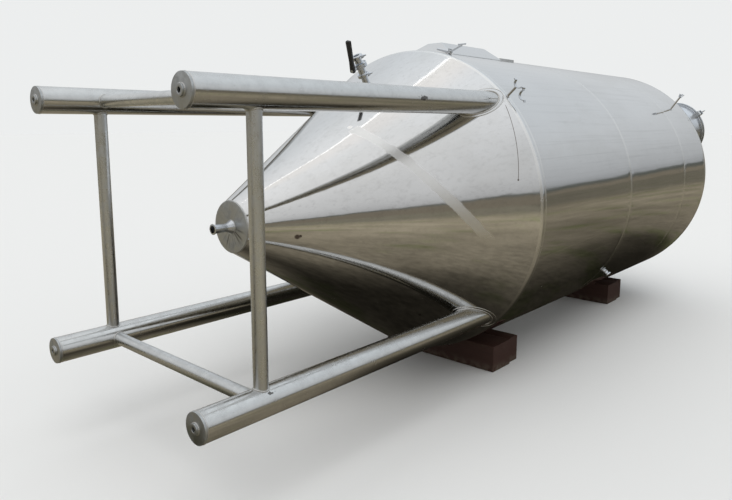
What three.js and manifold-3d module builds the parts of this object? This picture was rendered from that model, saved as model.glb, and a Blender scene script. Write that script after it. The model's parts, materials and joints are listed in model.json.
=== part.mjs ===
// Conical-bottomed brewing tank lying on its side on two timber blocks.
// Units are millimetres and +Z is up. The tank's own axis runs along X: the cone, the outlet and the
// feet point to -X, and the domed head with its manway points to +X. The fittings side faces up.
import * as THREE from 'three';
import { mergeVertices } from 'three/addons/utils/BufferGeometryUtils.js';
import Module from 'manifold-3d';

const wasm = await Module();
wasm.setup();

// Gap left between pieces that touch, and between pieces that move
const GAP = 0.3;
const PLAY = 0.5;

// Tank body, measured along its axis from the cone's small end
const TANK_RADIUS = 915;
const WALL = 80;
const CONE_LENGTH = 1340;
const CONE_JOINTS_X = [280, 640];
const CONE_END_RADIUS = 126;
const KNUCKLE_RADIUS = 40;
const SEAM_MIDDLE_X = 2608;
const SEAM_UPPER_X = 3780;
const HEAD_X = 4338;
const CROWN_RADIUS = 2 * TANK_RADIUS;
const HEAD_KNUCKLE_RADIUS = 200;
const SHELL_SEGMENTS = 48;

// Clamp ferrules and the tube that they end
const TUBE_RADIUS = 19;
const TUBE_BORE = 17.4;
const FERRULE_RADIUS = 25.3;
const FERRULE_RIM = 3.5;
const FERRULE_LENGTH = 3 * FERRULE_RIM;

// Outlet at the cone's small end, with a swept foot on the end plate
const END_PLATE = 6;
const OUTLET_LENGTH = 110;
const OUTLET_FOOT = { radius: 34, middleRadius: 24, middleX: -24, startX: -44 };
const OUTLET_COLLAR = { clearance: 2.7, length: 14 };

// Legs, feet and cross braces
const LEG_OFFSET = 590;
const LEG_RADIUS = 62;
const LEG_WALL = 5;
const LEG_SEGMENTS = 32;
const FOOT_FACE_X = -624;
const FOOT_PLATE = 12;
const BOSS_RADIUS = 23;
const BOSS_HEIGHT = 10;
const FOOT_HOLE_RADIUS = 10;
const BRACE_X = -324;
const BRACE_RADIUS = 30;
const BRACE_WALL = 3;
const BRACE_SEGMENTS = 24;
const COPE_REACH = 150;
const PAD_MARGIN = 14;
const PAD_THICKNESS = 3;

// Raised cover in the cladding on the fittings side
const COVER_X = 1857;
const COVER_TOP = { length: 495, width: 110 };
const COVER_BASE = { from: -325, to: 256, width: 380 };
const COVER_HEIGHT = 68;
const COVER_SIDE_DROP = 18;

// Lug on the ridge, just past the raised cover
const RIDGE_LUG = { x: 2118, y: -161, length: 180, width: 30, top: 913 };

// Manway on the head, in a frame of its own: X to the tank's rim and Z out of the head
const MANWAY_OFFSET = 651;
const MANWAY_TURN = 53.2;
const ROUND_SEGMENTS = 48;
const COLLAR = { radius: 225, wall: 6, height: 140, rimRadius: 238, rim: 10, inside: 30 };
const GASKET = { thickness: 5, inset: 2 };
const LID = { radius: 250, plate: 8, dishRadius: 205, rise: 32, steps: 5 };
const HINGE = { reach: 290, height: 14, pinRadius: 8, pinHalf: 50, eyeRadius: 17, armHalf: 22 };
const BRACKET = { half: 42, cheek: 15, round: 18, low: -60, top: -20, cheekLow: -30, lidClearance: 6 };
const CLAMP = { reach: 262, half: 20, overhang: 20, lugLow: -34, holeRadius: 8, slotRadius: 7.3, step: 4 };
const SCREW = { radius: 6, low: -28, high: 30, hubRadius: 13, hub: 22 };
const WING = { length: 16, thickness: 6, height: 14, offset: 20, lift: 24 };

// Racking port and its butterfly valve, square to the cone
const PORT_X = 966;
const PORT_INSIDE = 20;
const PORT_FOOT = { radius: 28, height: 16 };
const VALVE_HEIGHT = 124;
const VALVE_HALF = 58;
const VALVE_RADIUS = 40;
const VALVE_WAIST = 21;
const VALVE_FLANGE = { half: 12, slope: 2 };
const BONNET = { radius: 12, clearance: 6 };
const CLAMP_RING = { radius: 33, width: 16, lug: 12, lugHalf: 8 };
const CLAMP_BOLT = { radius: 4, reach: [-24, 30], nut: [14, 24] };
const STEM_RADIUS = 6;
const DISC_HALF = 2;
const LEVER = { offset: 66, length: 176, width: 26, thickness: 12, heel: 12, waist: 0.62, waistAt: 0.35 };
const LEVER_TURN = 15;

// Capped port low on the near side of the middle course, as its turn from straight up
const SIDE_PORT = { x: 2795, turn: 130.2, standOff: 26, capRadius: 27, cap: 12 };

// Stand-off supports for a riser pipe: a rod with half of a split band, its other half hanging open on
// the lower one and missing on the upper one, which leans up and has its band facing across the tank
const SUPPORTS = [
  { name: 'pipe_support_lower', x: 1356, turn: 46.7, lean: 0, length: 66, hanging: true },
  { name: 'pipe_support_upper', x: 4020, turn: 49.3, lean: 14.5, length: 115, hanging: false },
];
const SUPPORT_ROD_RADIUS = 6;
const SUPPORT_FOOT = { radius: 14, height: 3 };
const BAND = { inner: 24.5, outer: 28.5, width: 20, ear: 9, earThickness: 5, hingeRadius: 6 };
const HANGING_ANGLE = 262;

// Opened pipe bracket beside the raised cover, its arms given across and up from its hub
const OPEN_BRACKET = { x: 1460, turn: 13.6, farArm: [92, 24], nearArm: [-82, 32], armRadius: 6 };
const BRACKET_HUB = { radius: 11, half: 13, pinRadius: 6, pinRise: 15 };
const BRACKET_BAR = { half: 27, radius: 5, rise: 5 };

// Timber blocks under the tank
const BLOCKS = [
  { name: 'timber_block_cone_end', x: 1815, y: [-463, 400] },
  { name: 'timber_block_head_end', x: 3871, y: [-385, 400] },
];
const BLOCK = { width: 330, height: 170 };

function material(color, roughness, metalness) {
  return new THREE.MeshStandardMaterial({ color, roughness, metalness });
}

const brushedSteel = material(0xb9bcbc, 0.32, 1);
const tubeSteel = material(0xa9a9a4, 0.42, 1);
const plateSteel = material(0x8d8c88, 0.55, 1);
const brightSteel = material(0xd2d4d4, 0.18, 1);
const blackGrip = material(0x141414, 0.5, 0);
const whiteRubber = material(0xd8d6cc, 0.7, 0);
const paintedTimber = material(0x5a2c1e, 0.85, 0);

const radians = THREE.MathUtils.degToRad;

// A geometry with merged corners and its faces turned outwards
function closed(geometry) {
  const bare = new THREE.BufferGeometry();
  bare.setAttribute('position', geometry.getAttribute('position'));
  if (geometry.index) bare.setIndex(geometry.index);
  const merged = mergeVertices(bare, 1e-3);
  const position = merged.getAttribute('position');
  const index = merged.index.array;
  const kept = [];
  const [a, b, c] = [new THREE.Vector3(), new THREE.Vector3(), new THREE.Vector3()];
  let volume = 0;
  for (let i = 0; i < index.length; i += 3) {
    const [p, q, r] = [index[i], index[i + 1], index[i + 2]];
    if (p === q || q === r || r === p) continue;
    a.fromBufferAttribute(position, p);
    b.fromBufferAttribute(position, q);
    c.fromBufferAttribute(position, r);
    volume += a.dot(b.cross(c));
    kept.push(p, q, r);
  }
  if (volume < 0) kept.reverse();
  merged.setIndex(kept);
  return merged;
}

// A solid that can be joined and cut, from a geometry and back
function solid(geometry) {
  const whole = closed(geometry);
  return new wasm.Manifold(new wasm.Mesh({
    numProp: 3,
    vertProperties: Float32Array.from(whole.getAttribute('position').array),
    triVerts: Uint32Array.from(whole.index.array),
  }));
}

function geometryOf(shape) {
  const data = shape.getMesh();
  const geometry = new THREE.BufferGeometry();
  geometry.setAttribute('position', new THREE.BufferAttribute(Float32Array.from(data.vertProperties), 3));
  geometry.setIndex(new THREE.BufferAttribute(Uint32Array.from(data.triVerts), 1));
  return geometry;
}

// A solid of revolution about the X axis, from a closed outline of [x, radius] points
function turned(outline, segments) {
  const points = [...outline, outline[0]].map(([x, r]) => new THREE.Vector2(r, x));
  return closed(new THREE.LatheGeometry(points, segments).rotateZ(-Math.PI / 2));
}

// The same about the Z axis, from [radius, z] points
function turnedUp(outline, segments) {
  const points = [...outline, outline[0]].map(([r, z]) => new THREE.Vector2(r, z));
  return closed(new THREE.LatheGeometry(points, segments).rotateX(Math.PI / 2));
}

function rodAlongX(x0, x1, radius, segments) {
  const rod = new THREE.CylinderGeometry(radius, radius, x1 - x0, segments);
  return rod.rotateZ(Math.PI / 2).translate((x0 + x1) / 2, 0, 0);
}

function rodAlongY(y0, y1, radius, segments) {
  return new THREE.CylinderGeometry(radius, radius, y1 - y0, segments).translate(0, (y0 + y1) / 2, 0);
}

function rodAlongZ(z0, z1, radius, segments) {
  const rod = new THREE.CylinderGeometry(radius, radius, z1 - z0, segments);
  return rod.rotateX(Math.PI / 2).translate(0, 0, (z0 + z1) / 2);
}

// A rod in the plane across the tank's axis, from the foot to a place across and up from it
function rodAcross([across, up], radius, segments) {
  const rod = rodAlongZ(0, Math.hypot(across, up), radius, segments);
  return rod.rotateX(-Math.atan2(across, up));
}

function box(x0, x1, y0, y1, z0, z1) {
  const block = new THREE.BoxGeometry(x1 - x0, y1 - y0, z1 - z0);
  return block.translate((x0 + x1) / 2, (y0 + y1) / 2, (z0 + z1) / 2);
}

const tank = new THREE.Group();

function add(parent, name, skin, shape) {
  const mesh = new THREE.Mesh(shape.isBufferGeometry ? closed(shape) : geometryOf(shape), skin);
  mesh.name = name;
  parent.add(mesh);
  return mesh;
}

// Stands a mesh on the shell, its own Z pointing out of it
function standOnShell(mesh, x, turnDegrees) {
  const turn = radians(turnDegrees);
  mesh.rotation.x = turn;
  mesh.position.set(x, -TANK_RADIUS * Math.sin(turn), TANK_RADIUS * Math.cos(turn));
}

// Points of an arc as [x, radius], from one angle to another about a centre
function arc(cx, cr, radius, from, to, steps) {
  return Array.from({ length: steps + 1 }, (unused, i) => {
    const angle = from + ((to - from) * i) / steps;
    return [cx + radius * Math.sin(angle), cr + radius * Math.cos(angle)];
  });
}

// Cone: half angle, and the small knuckle that turns it into the cylinder
const coneAngle = Math.atan((TANK_RADIUS - CONE_END_RADIUS) / CONE_LENGTH);
const coneEndX = CONE_LENGTH + KNUCKLE_RADIUS * Math.tan(coneAngle / 2);
const coneInset = WALL / Math.cos(coneAngle);
const KNUCKLE_STEPS = 3;

function coneRadius(x) {
  return CONE_END_RADIUS + x * Math.tan(coneAngle);
}

function coneOutline(outward) {
  return [
    [0, coneRadius(0) + outward / Math.cos(coneAngle)],
    ...arc(coneEndX, TANK_RADIUS - KNUCKLE_RADIUS, KNUCKLE_RADIUS + outward, -coneAngle, 0, KNUCKLE_STEPS),
  ];
}

function coneShell(startX, endX) {
  const outside = [startX, endX].map((x) => [x, coneRadius(x)]);
  const inside = outside.map(([x, radius]) => [x, radius - coneInset]).reverse();
  return turned([...outside, ...inside], SHELL_SEGMENTS);
}

function coneShellWide() {
  const startX = CONE_JOINTS_X[1] + GAP;
  const outside = [[startX, coneRadius(startX)], ...coneOutline(0).slice(1)];
  const inside = [coneEndX, startX].map((x) => [x, coneRadius(x) - coneInset]);
  return turned([...outside, ...inside], SHELL_SEGMENTS);
}

// Everything inside the cone's surface and the shell next to it, pushed out by a distance
function coneEnvelope(outward) {
  const shellX = coneEndX + 2 * WALL;
  const shell = [[shellX, TANK_RADIUS + outward], [shellX, 0]];
  return turned([[0, 0], ...coneOutline(outward), ...shell], SHELL_SEGMENTS);
}

function shellCourse(x0, x1) {
  const inner = TANK_RADIUS - WALL;
  return turned([[x0, TANK_RADIUS], [x1, TANK_RADIUS], [x1, inner], [x0, inner]], SHELL_SEGMENTS);
}

// Domed head: a crown and a knuckle, hollow inside
const crownReach = CROWN_RADIUS - HEAD_KNUCKLE_RADIUS;
const headTurn = Math.asin((TANK_RADIUS - HEAD_KNUCKLE_RADIUS) / crownReach);
const crownCentreX = HEAD_X - crownReach * Math.cos(headTurn);
const HEAD_KNUCKLE_STEPS = 4;
const CROWN_STEPS = 7;

function headOutline(inset) {
  const knuckle = HEAD_KNUCKLE_RADIUS - inset;
  const crown = CROWN_RADIUS - inset;
  const centre = TANK_RADIUS - HEAD_KNUCKLE_RADIUS;
  const outline = arc(HEAD_X, centre, knuckle, 0, Math.PI / 2 - headTurn, HEAD_KNUCKLE_STEPS);
  for (let i = 1; i <= CROWN_STEPS; i += 1) {
    const angle = headTurn * (1 - i / CROWN_STEPS);
    outline.push([crownCentreX + crown * Math.cos(angle), crown * Math.sin(angle)]);
  }
  return outline;
}

// Manway frame on the head
const manway = new THREE.Group();
const manwayTilt = Math.asin(MANWAY_OFFSET / CROWN_RADIUS);
const outwards = new THREE.Vector3(0, -Math.sin(radians(MANWAY_TURN)), Math.cos(radians(MANWAY_TURN)));
const direction = (along, out) => new THREE.Vector3(along, 0, 0).addScaledVector(outwards, out);
const manwayZ = direction(Math.cos(manwayTilt), Math.sin(manwayTilt));
const manwayX = direction(-Math.sin(manwayTilt), Math.cos(manwayTilt));
const manwayY = new THREE.Vector3().crossVectors(manwayZ, manwayX);
const manwaySeat = new THREE.Vector3(crownCentreX, 0, 0);
manwaySeat.addScaledVector(manwayZ, CROWN_RADIUS + COLLAR.height);
const manwayMatrix = new THREE.Matrix4().makeBasis(manwayX, manwayY, manwayZ).setPosition(manwaySeat);
manway.applyMatrix4(manwayMatrix);
tank.add(manway);

function topHead() {
  const dome = solid(turned([...headOutline(0), ...headOutline(WALL).reverse()], SHELL_SEGMENTS));
  const hole = rodAlongZ(-COLLAR.height - 3 * WALL, 0, COLLAR.radius + GAP, ROUND_SEGMENTS);
  return dome.subtract(solid(hole.applyMatrix4(manwayMatrix)));
}

// Racking port frame on the cone: Z straight out of the cone and X along it to the head
const racking = new THREE.Group();
racking.position.set(PORT_X, 0, coneRadius(PORT_X));
racking.rotation.y = -coneAngle;
racking.updateMatrix();
tank.add(racking);

// Cone, shell courses and head
const BORE_SEGMENTS = 24;
const portHole = rodAlongZ(-2 * WALL, WALL, TUBE_RADIUS + GAP, BORE_SEGMENTS).applyMatrix4(racking.matrix);
add(tank, 'cone_shell_tip', brushedSteel, coneShell(0, CONE_JOINTS_X[0]));
add(tank, 'cone_shell_narrow', brushedSteel, coneShell(CONE_JOINTS_X[0] + GAP, CONE_JOINTS_X[1]));
add(tank, 'cone_shell_wide', brushedSteel, solid(coneShellWide()).subtract(solid(portHole)));
add(tank, 'shell_course_lower', brushedSteel, shellCourse(coneEndX + GAP, SEAM_MIDDLE_X));
add(tank, 'shell_course_middle', brushedSteel, shellCourse(SEAM_MIDDLE_X + GAP, SEAM_UPPER_X));
add(tank, 'shell_course_upper', brushedSteel, shellCourse(SEAM_UPPER_X + GAP, HEAD_X - GAP));
add(tank, 'top_head', brushedSteel, topHead());

// End plate and outlet nozzle
const plateHole = TUBE_RADIUS + OUTLET_COLLAR.clearance + GAP;
add(tank, 'cone_end_plate', plateSteel, turned([
  [-END_PLATE, plateHole],
  [-END_PLATE, CONE_END_RADIUS],
  [-GAP, CONE_END_RADIUS],
  [-GAP, plateHole],
], SHELL_SEGMENTS));

const coneBore = CONE_END_RADIUS - coneInset - 1;
add(tank, 'outlet_nozzle', brightSteel, turned([
  [-OUTLET_LENGTH, TUBE_BORE],
  [-OUTLET_LENGTH, FERRULE_RADIUS],
  [-OUTLET_LENGTH + FERRULE_RIM, FERRULE_RADIUS],
  [-OUTLET_LENGTH + FERRULE_LENGTH, TUBE_RADIUS],
  [OUTLET_FOOT.startX, TUBE_RADIUS],
  [OUTLET_FOOT.middleX, OUTLET_FOOT.middleRadius],
  [-END_PLATE - GAP, OUTLET_FOOT.radius],
  [-END_PLATE - GAP, TUBE_RADIUS + OUTLET_COLLAR.clearance],
  [GAP, TUBE_RADIUS + OUTLET_COLLAR.clearance],
  [GAP, coneBore],
  [OUTLET_COLLAR.length, coneBore],
  [OUTLET_COLLAR.length, TUBE_BORE],
], BORE_SEGMENTS));

// Legs: open tubes cut to the cone, with a pad round each root and a foot plate
const LEGS = [
  { name: 'upper_near', y: -LEG_OFFSET, z: LEG_OFFSET },
  { name: 'upper_far', y: LEG_OFFSET, z: LEG_OFFSET },
  { name: 'lower_near', y: -LEG_OFFSET, z: -LEG_OFFSET },
  { name: 'lower_far', y: LEG_OFFSET, z: -LEG_OFFSET },
];
const legStartX = FOOT_FACE_X + FOOT_PLATE + GAP;
const cutter = solid(coneEnvelope(GAP));
const padSkin = solid(coneEnvelope(GAP + PAD_THICKNESS)).subtract(cutter);

for (const leg of LEGS) {
  const rod = (x0, x1, radius) => solid(rodAlongX(x0, x1, radius, LEG_SEGMENTS).translate(0, leg.y, leg.z));
  const tube = rod(legStartX, CONE_LENGTH, LEG_RADIUS);
  const bore = rod(legStartX - 1, CONE_LENGTH + 1, LEG_RADIUS - LEG_WALL);
  add(tank, `leg_${leg.name}`, tubeSteel, tube.subtract(bore).subtract(cutter));
  const round = rod(0, coneEndX, LEG_RADIUS + PAD_MARGIN);
  const hole = rod(-1, coneEndX + 1, LEG_RADIUS + GAP);
  add(tank, `leg_pad_${leg.name}`, brushedSteel, padSkin.intersect(round).subtract(hole));
  const foot = add(tank, `foot_plate_${leg.name}`, plateSteel, turned([
    [FOOT_FACE_X - BOSS_HEIGHT, FOOT_HOLE_RADIUS],
    [FOOT_FACE_X - BOSS_HEIGHT, BOSS_RADIUS],
    [FOOT_FACE_X, BOSS_RADIUS],
    [FOOT_FACE_X, LEG_RADIUS],
    [FOOT_FACE_X + FOOT_PLATE, LEG_RADIUS],
    [FOOT_FACE_X + FOOT_PLATE, FOOT_HOLE_RADIUS],
  ], LEG_SEGMENTS));
  foot.position.set(0, leg.y, leg.z);
}

// Cross braces: a ring of four tubes coped to the legs
const legsTogether = LEGS.map((leg) => {
  const rod = rodAlongX(BRACE_X - COPE_REACH, BRACE_X + COPE_REACH, LEG_RADIUS + GAP, LEG_SEGMENTS);
  return solid(rod.translate(0, leg.y, leg.z));
}).reduce((sum, leg) => sum.add(leg));

function brace(along, y, z) {
  const outside = along(-LEG_OFFSET, LEG_OFFSET, BRACE_RADIUS, BRACE_SEGMENTS);
  const bore = along(-LEG_OFFSET, LEG_OFFSET, BRACE_RADIUS - BRACE_WALL, BRACE_SEGMENTS);
  return solid(outside).subtract(solid(bore)).translate([BRACE_X, y, z]).subtract(legsTogether);
}

add(tank, 'brace_upper', tubeSteel, brace(rodAlongY, 0, LEG_OFFSET));
add(tank, 'brace_lower', tubeSteel, brace(rodAlongY, 0, -LEG_OFFSET));
add(tank, 'brace_near', tubeSteel, brace(rodAlongZ, -LEG_OFFSET, 0));
add(tank, 'brace_far', tubeSteel, brace(rodAlongZ, LEG_OFFSET, 0));

// Everything inside the shell, to cut what stands on it
const shellCutter = solid(rodAlongX(0, HEAD_X, TANK_RADIUS + GAP, 2 * SHELL_SEGMENTS));

// A prism with straight sides up to a height, then sloping in to its top
function slopingPrism(from, to, top, sideHeight, depth) {
  const shape = new THREE.Shape([
    new THREE.Vector2(from, -COVER_HEIGHT),
    new THREE.Vector2(to, -COVER_HEIGHT),
    new THREE.Vector2(to, sideHeight),
    new THREE.Vector2(top / 2, COVER_HEIGHT),
    new THREE.Vector2(-top / 2, COVER_HEIGHT),
    new THREE.Vector2(from, sideHeight),
  ]);
  const prism = new THREE.ExtrudeGeometry(shape, { depth, bevelEnabled: false });
  return prism.translate(0, 0, -depth / 2).rotateX(Math.PI / 2);
}

function raisedCover() {
  const { from, to, width } = COVER_BASE;
  const lengthways = slopingPrism(from, to, COVER_TOP.length, 0, width);
  const across = slopingPrism(-width / 2, width / 2, COVER_TOP.width, -COVER_SIDE_DROP, to - from + width);
  const block = solid(lengthways).intersect(solid(across.rotateZ(Math.PI / 2)));
  return block.translate([COVER_X, 0, TANK_RADIUS]).subtract(shellCutter);
}

add(tank, 'raised_cover', brushedSteel, raisedCover());

const lugY = [RIDGE_LUG.y - RIDGE_LUG.width / 2, RIDGE_LUG.y + RIDGE_LUG.width / 2];
const ridgeLug = box(RIDGE_LUG.x, RIDGE_LUG.x + RIDGE_LUG.length, ...lugY, 0, RIDGE_LUG.top);
add(tank, 'ridge_lug', tubeSteel, solid(ridgeLug).subtract(shellCutter));

// Manway: collar through the head, gasket, lid on a hinge, and a clamp with a wing nut
add(manway, 'manway_collar', brightSteel, turnedUp([
  [COLLAR.radius - COLLAR.wall, -COLLAR.height - WALL - COLLAR.inside],
  [COLLAR.radius, -COLLAR.height - WALL - COLLAR.inside],
  [COLLAR.radius, -COLLAR.rim],
  [COLLAR.rimRadius, -COLLAR.rim],
  [COLLAR.rimRadius, 0],
  [COLLAR.radius - COLLAR.wall, 0],
], ROUND_SEGMENTS));
add(manway, 'manway_gasket', whiteRubber, turnedUp([
  [COLLAR.radius - COLLAR.wall, GAP],
  [COLLAR.rimRadius - GASKET.inset, GAP],
  [COLLAR.rimRadius - GASKET.inset, GASKET.thickness],
  [COLLAR.radius - COLLAR.wall, GASKET.thickness],
], ROUND_SEGMENTS));

const lidBase = GASKET.thickness + GAP;
const lidTop = lidBase + LID.plate;
const cutHalf = 3 * HINGE.armHalf;

function lidDish(base) {
  return Array.from({ length: LID.steps + 1 }, (unused, i) => {
    const share = 1 - i / LID.steps;
    return [LID.dishRadius * share, base + LID.rise * (1 - share ** 2)];
  });
}

function manwayLid() {
  const rim = [[LID.radius, lidBase], [LID.radius, lidTop]];
  const plate = solid(turnedUp([...rim, ...lidDish(lidTop), ...lidDish(lidBase).reverse()], ROUND_SEGMENTS));
  const armX = [-HINGE.reach, -LID.dishRadius - LID.plate];
  const arm = solid(box(...armX, -HINGE.armHalf, HINGE.armHalf, lidBase + 2, lidTop + LID.plate));
  const atHinge = (rod) => solid(rod.translate(-HINGE.reach, 0, HINGE.height));
  const eye = atHinge(rodAlongY(-HINGE.armHalf, HINGE.armHalf, HINGE.eyeRadius, 20));
  const pinHole = atHinge(rodAlongY(-cutHalf, cutHalf, HINGE.pinRadius + PLAY, 20));
  const earX = [LID.dishRadius + LID.plate, CLAMP.reach + CLAMP.overhang];
  const ear = solid(box(...earX, -CLAMP.half, CLAMP.half, lidBase + 1, lidTop + CLAMP.step));
  const screwHole = solid(rodAlongZ(-cutHalf, cutHalf, CLAMP.slotRadius, 16).translate(CLAMP.reach, 0, 0));
  return plate.add(arm).add(eye).add(ear).subtract(pinHole).subtract(screwHole);
}

add(manway, 'manway_lid', brightSteel, manwayLid());

const collarCutter = solid(rodAlongZ(-COLLAR.height, COLLAR.height, COLLAR.radius + GAP, ROUND_SEGMENTS));

function hingeBracket() {
  const back = -HINGE.reach - BRACKET.round;
  let bracket = solid(box(back, -COLLAR.radius - GAP, -BRACKET.half, BRACKET.half, BRACKET.low, BRACKET.top));
  const atHinge = (rod) => solid(rod.translate(-HINGE.reach, 0, HINGE.height));
  for (const y0 of [-BRACKET.half, BRACKET.half - BRACKET.cheek]) {
    const y1 = y0 + BRACKET.cheek;
    const cheekEnd = -LID.radius - BRACKET.lidClearance;
    const cheek = solid(box(back, cheekEnd, y0, y1, BRACKET.cheekLow, HINGE.height));
    bracket = bracket.add(cheek).add(atHinge(rodAlongY(y0, y1, BRACKET.round, 20)));
  }
  const pinHole = atHinge(rodAlongY(-cutHalf, cutHalf, HINGE.pinRadius + GAP, 20));
  return bracket.subtract(collarCutter).subtract(pinHole);
}

add(manway, 'manway_hinge_bracket', tubeSteel, hingeBracket());
const hingePin = rodAlongY(-HINGE.pinHalf, HINGE.pinHalf, HINGE.pinRadius, 20);
add(manway, 'manway_hinge_pin', brightSteel, hingePin).position.set(-HINGE.reach, 0, HINGE.height);

function clampLug() {
  const lugX = [COLLAR.radius - CLAMP.overhang, CLAMP.reach + CLAMP.overhang];
  const lug = solid(box(...lugX, -CLAMP.half, CLAMP.half, CLAMP.lugLow, -COLLAR.rim - GAP));
  const hole = solid(rodAlongZ(-cutHalf, cutHalf, CLAMP.holeRadius, 16).translate(CLAMP.reach, 0, 0));
  return lug.subtract(collarCutter).subtract(hole);
}

add(manway, 'manway_clamp_lug', tubeSteel, clampLug());

function wingScrew() {
  const seat = lidTop + CLAMP.step + GAP;
  const shank = solid(rodAlongZ(SCREW.low, seat + SCREW.high, SCREW.radius, 16));
  let screw = shank.add(solid(rodAlongZ(seat, seat + SCREW.hub, SCREW.hubRadius, 16)));
  for (const side of [-1, 1]) {
    const wing = new THREE.SphereGeometry(1, 14, 10).scale(WING.length, WING.thickness, WING.height);
    screw = screw.add(solid(wing.translate(side * WING.offset, 0, seat + WING.lift)));
  }
  return screw;
}

add(manway, 'manway_clamp_screw', brightSteel, wingScrew()).position.set(CLAMP.reach, 0, 0);

// Racking port: neck through the cone wall, valve body, disc with its stem, lever and clamp ring
const neckTop = VALVE_HEIGHT - VALVE_HALF - 2;
const neckFoot = -WALL - PORT_INSIDE;
add(racking, 'racking_port_neck', brightSteel, turnedUp([
  [TUBE_BORE, neckFoot],
  [TUBE_RADIUS, neckFoot],
  [TUBE_RADIUS, GAP],
  [PORT_FOOT.radius, GAP],
  [TUBE_RADIUS, PORT_FOOT.height],
  [TUBE_RADIUS, neckTop - FERRULE_LENGTH],
  [FERRULE_RADIUS, neckTop - FERRULE_RIM],
  [FERRULE_RADIUS, neckTop - GAP],
  [TUBE_BORE, neckTop - GAP],
], BORE_SEGMENTS));

const valveBottom = neckTop + GAP;
const valveTop = VALVE_HEIGHT + VALVE_HALF;

// Clamp ring about a joint between ferrules, its bolt and nut on the near side
function clampRing(z, inner) {
  const half = CLAMP_RING.width / 2;
  const ring = solid(turnedUp([
    [inner, z - half],
    [CLAMP_RING.radius, z - half],
    [CLAMP_RING.radius, z + half],
    [inner, z + half],
  ], BORE_SEGMENTS));
  const lugX = [CLAMP_RING.radius - 3, CLAMP_RING.radius + CLAMP_RING.lug];
  const lug = solid(box(...lugX, -CLAMP_RING.lugHalf, CLAMP_RING.lugHalf, z - half + 1, z + half - 1));
  const bolt = rodAlongY(...CLAMP_BOLT.reach, CLAMP_BOLT.radius, 12);
  const boltX = CLAMP_RING.radius + CLAMP_RING.lug / 2;
  const nutX = [boltX - CLAMP_RING.lug, boltX + CLAMP_RING.lug];
  const nut = solid(box(...nutX, ...CLAMP_BOLT.nut, z - CLAMP_BOLT.radius, z + CLAMP_BOLT.radius));
  return ring.add(lug).add(solid(bolt.translate(boltX, 0, z))).add(nut).rotate([0, 0, -90]);
}

function valveBody() {
  const flangeFoot = VALVE_FLANGE.half + VALVE_FLANGE.slope;
  const outline = turnedUp([
    [TUBE_BORE + 1, valveBottom],
    [FERRULE_RADIUS, valveBottom],
    [FERRULE_RADIUS, valveBottom + FERRULE_RIM],
    [VALVE_WAIST, valveBottom + FERRULE_LENGTH],
    [VALVE_WAIST, VALVE_HEIGHT - flangeFoot],
    [VALVE_RADIUS, VALVE_HEIGHT - VALVE_FLANGE.half],
    [VALVE_RADIUS, VALVE_HEIGHT + VALVE_FLANGE.half],
    [VALVE_WAIST, VALVE_HEIGHT + flangeFoot],
    [VALVE_WAIST, valveTop - FERRULE_LENGTH],
    [FERRULE_RADIUS, valveTop - FERRULE_RIM],
    [FERRULE_RADIUS, valveTop],
    [TUBE_BORE + 1, valveTop],
  ], BORE_SEGMENTS);
  const atValve = (rod) => solid(rod.translate(0, 0, VALVE_HEIGHT));
  const bonnetEnd = -LEVER.offset + LEVER.thickness + BONNET.clearance;
  const bonnet = atValve(rodAlongX(bonnetEnd, -VALVE_WAIST - 1, BONNET.radius, 20));
  const stemHole = atValve(rodAlongX(-LEVER.offset, VALVE_RADIUS - LEVER.thickness, STEM_RADIUS + PLAY, 16));
  const upperRing = clampRing(valveTop - CLAMP_RING.width / 2, VALVE_WAIST - 1);
  return solid(outline).add(bonnet).add(upperRing).subtract(stemHole);
}

add(racking, 'racking_valve_body', brightSteel, valveBody());

function valveDisc() {
  const disc = solid(rodAlongY(-DISC_HALF, DISC_HALF, TUBE_BORE - PLAY, BORE_SEGMENTS));
  const stem = solid(rodAlongX(-LEVER.offset - 2 * DISC_HALF, TUBE_RADIUS + STEM_RADIUS, STEM_RADIUS, 16));
  return disc.add(stem);
}

const valveMiddle = new THREE.Group();
valveMiddle.position.set(0, 0, VALVE_HEIGHT);
valveMiddle.rotation.x = radians(LEVER_TURN);
racking.add(valveMiddle);
add(valveMiddle, 'racking_valve_disc', brightSteel, valveDisc());

function lever() {
  const half = LEVER.width / 2;
  const waist = half * LEVER.waist;
  const waistHeight = LEVER.length * LEVER.waistAt;
  const grip = new THREE.Shape();
  grip.moveTo(-half, -LEVER.heel);
  grip.lineTo(half, -LEVER.heel);
  grip.lineTo(waist, waistHeight);
  grip.lineTo(half, LEVER.length - half);
  grip.absarc(0, LEVER.length - half, half, 0, Math.PI, false);
  grip.lineTo(-waist, waistHeight);
  const options = { depth: LEVER.thickness, bevelEnabled: false, curveSegments: 8 };
  const bar = new THREE.ExtrudeGeometry(grip, options).rotateX(Math.PI / 2).rotateZ(-Math.PI / 2);
  bar.translate(-LEVER.offset + LEVER.thickness / 2, 0, 0);
  const holeX = [-LEVER.offset - LEVER.thickness, -LEVER.offset + LEVER.thickness];
  return solid(bar).subtract(solid(rodAlongX(...holeX, STEM_RADIUS + GAP, 16)));
}

add(valveMiddle, 'racking_valve_lever', blackGrip, lever());

add(racking, 'racking_clamp_ring', brightSteel, clampRing(neckTop, FERRULE_RADIUS + GAP));

// Side port: a short tube with a capped and clamped ferrule
const capFoot = SIDE_PORT.standOff - SIDE_PORT.cap / 2;
const capTop = SIDE_PORT.standOff + SIDE_PORT.cap / 2;
const sidePort = turnedUp([
  [0, GAP],
  [TUBE_RADIUS, GAP],
  [TUBE_RADIUS, capFoot - FERRULE_RIM],
  [SIDE_PORT.capRadius, capFoot],
  [SIDE_PORT.capRadius, capTop],
  [0, capTop],
], BORE_SEGMENTS);
standOnShell(add(tank, 'side_port', brightSteel, sidePort), SIDE_PORT.x, SIDE_PORT.turn);

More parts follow.
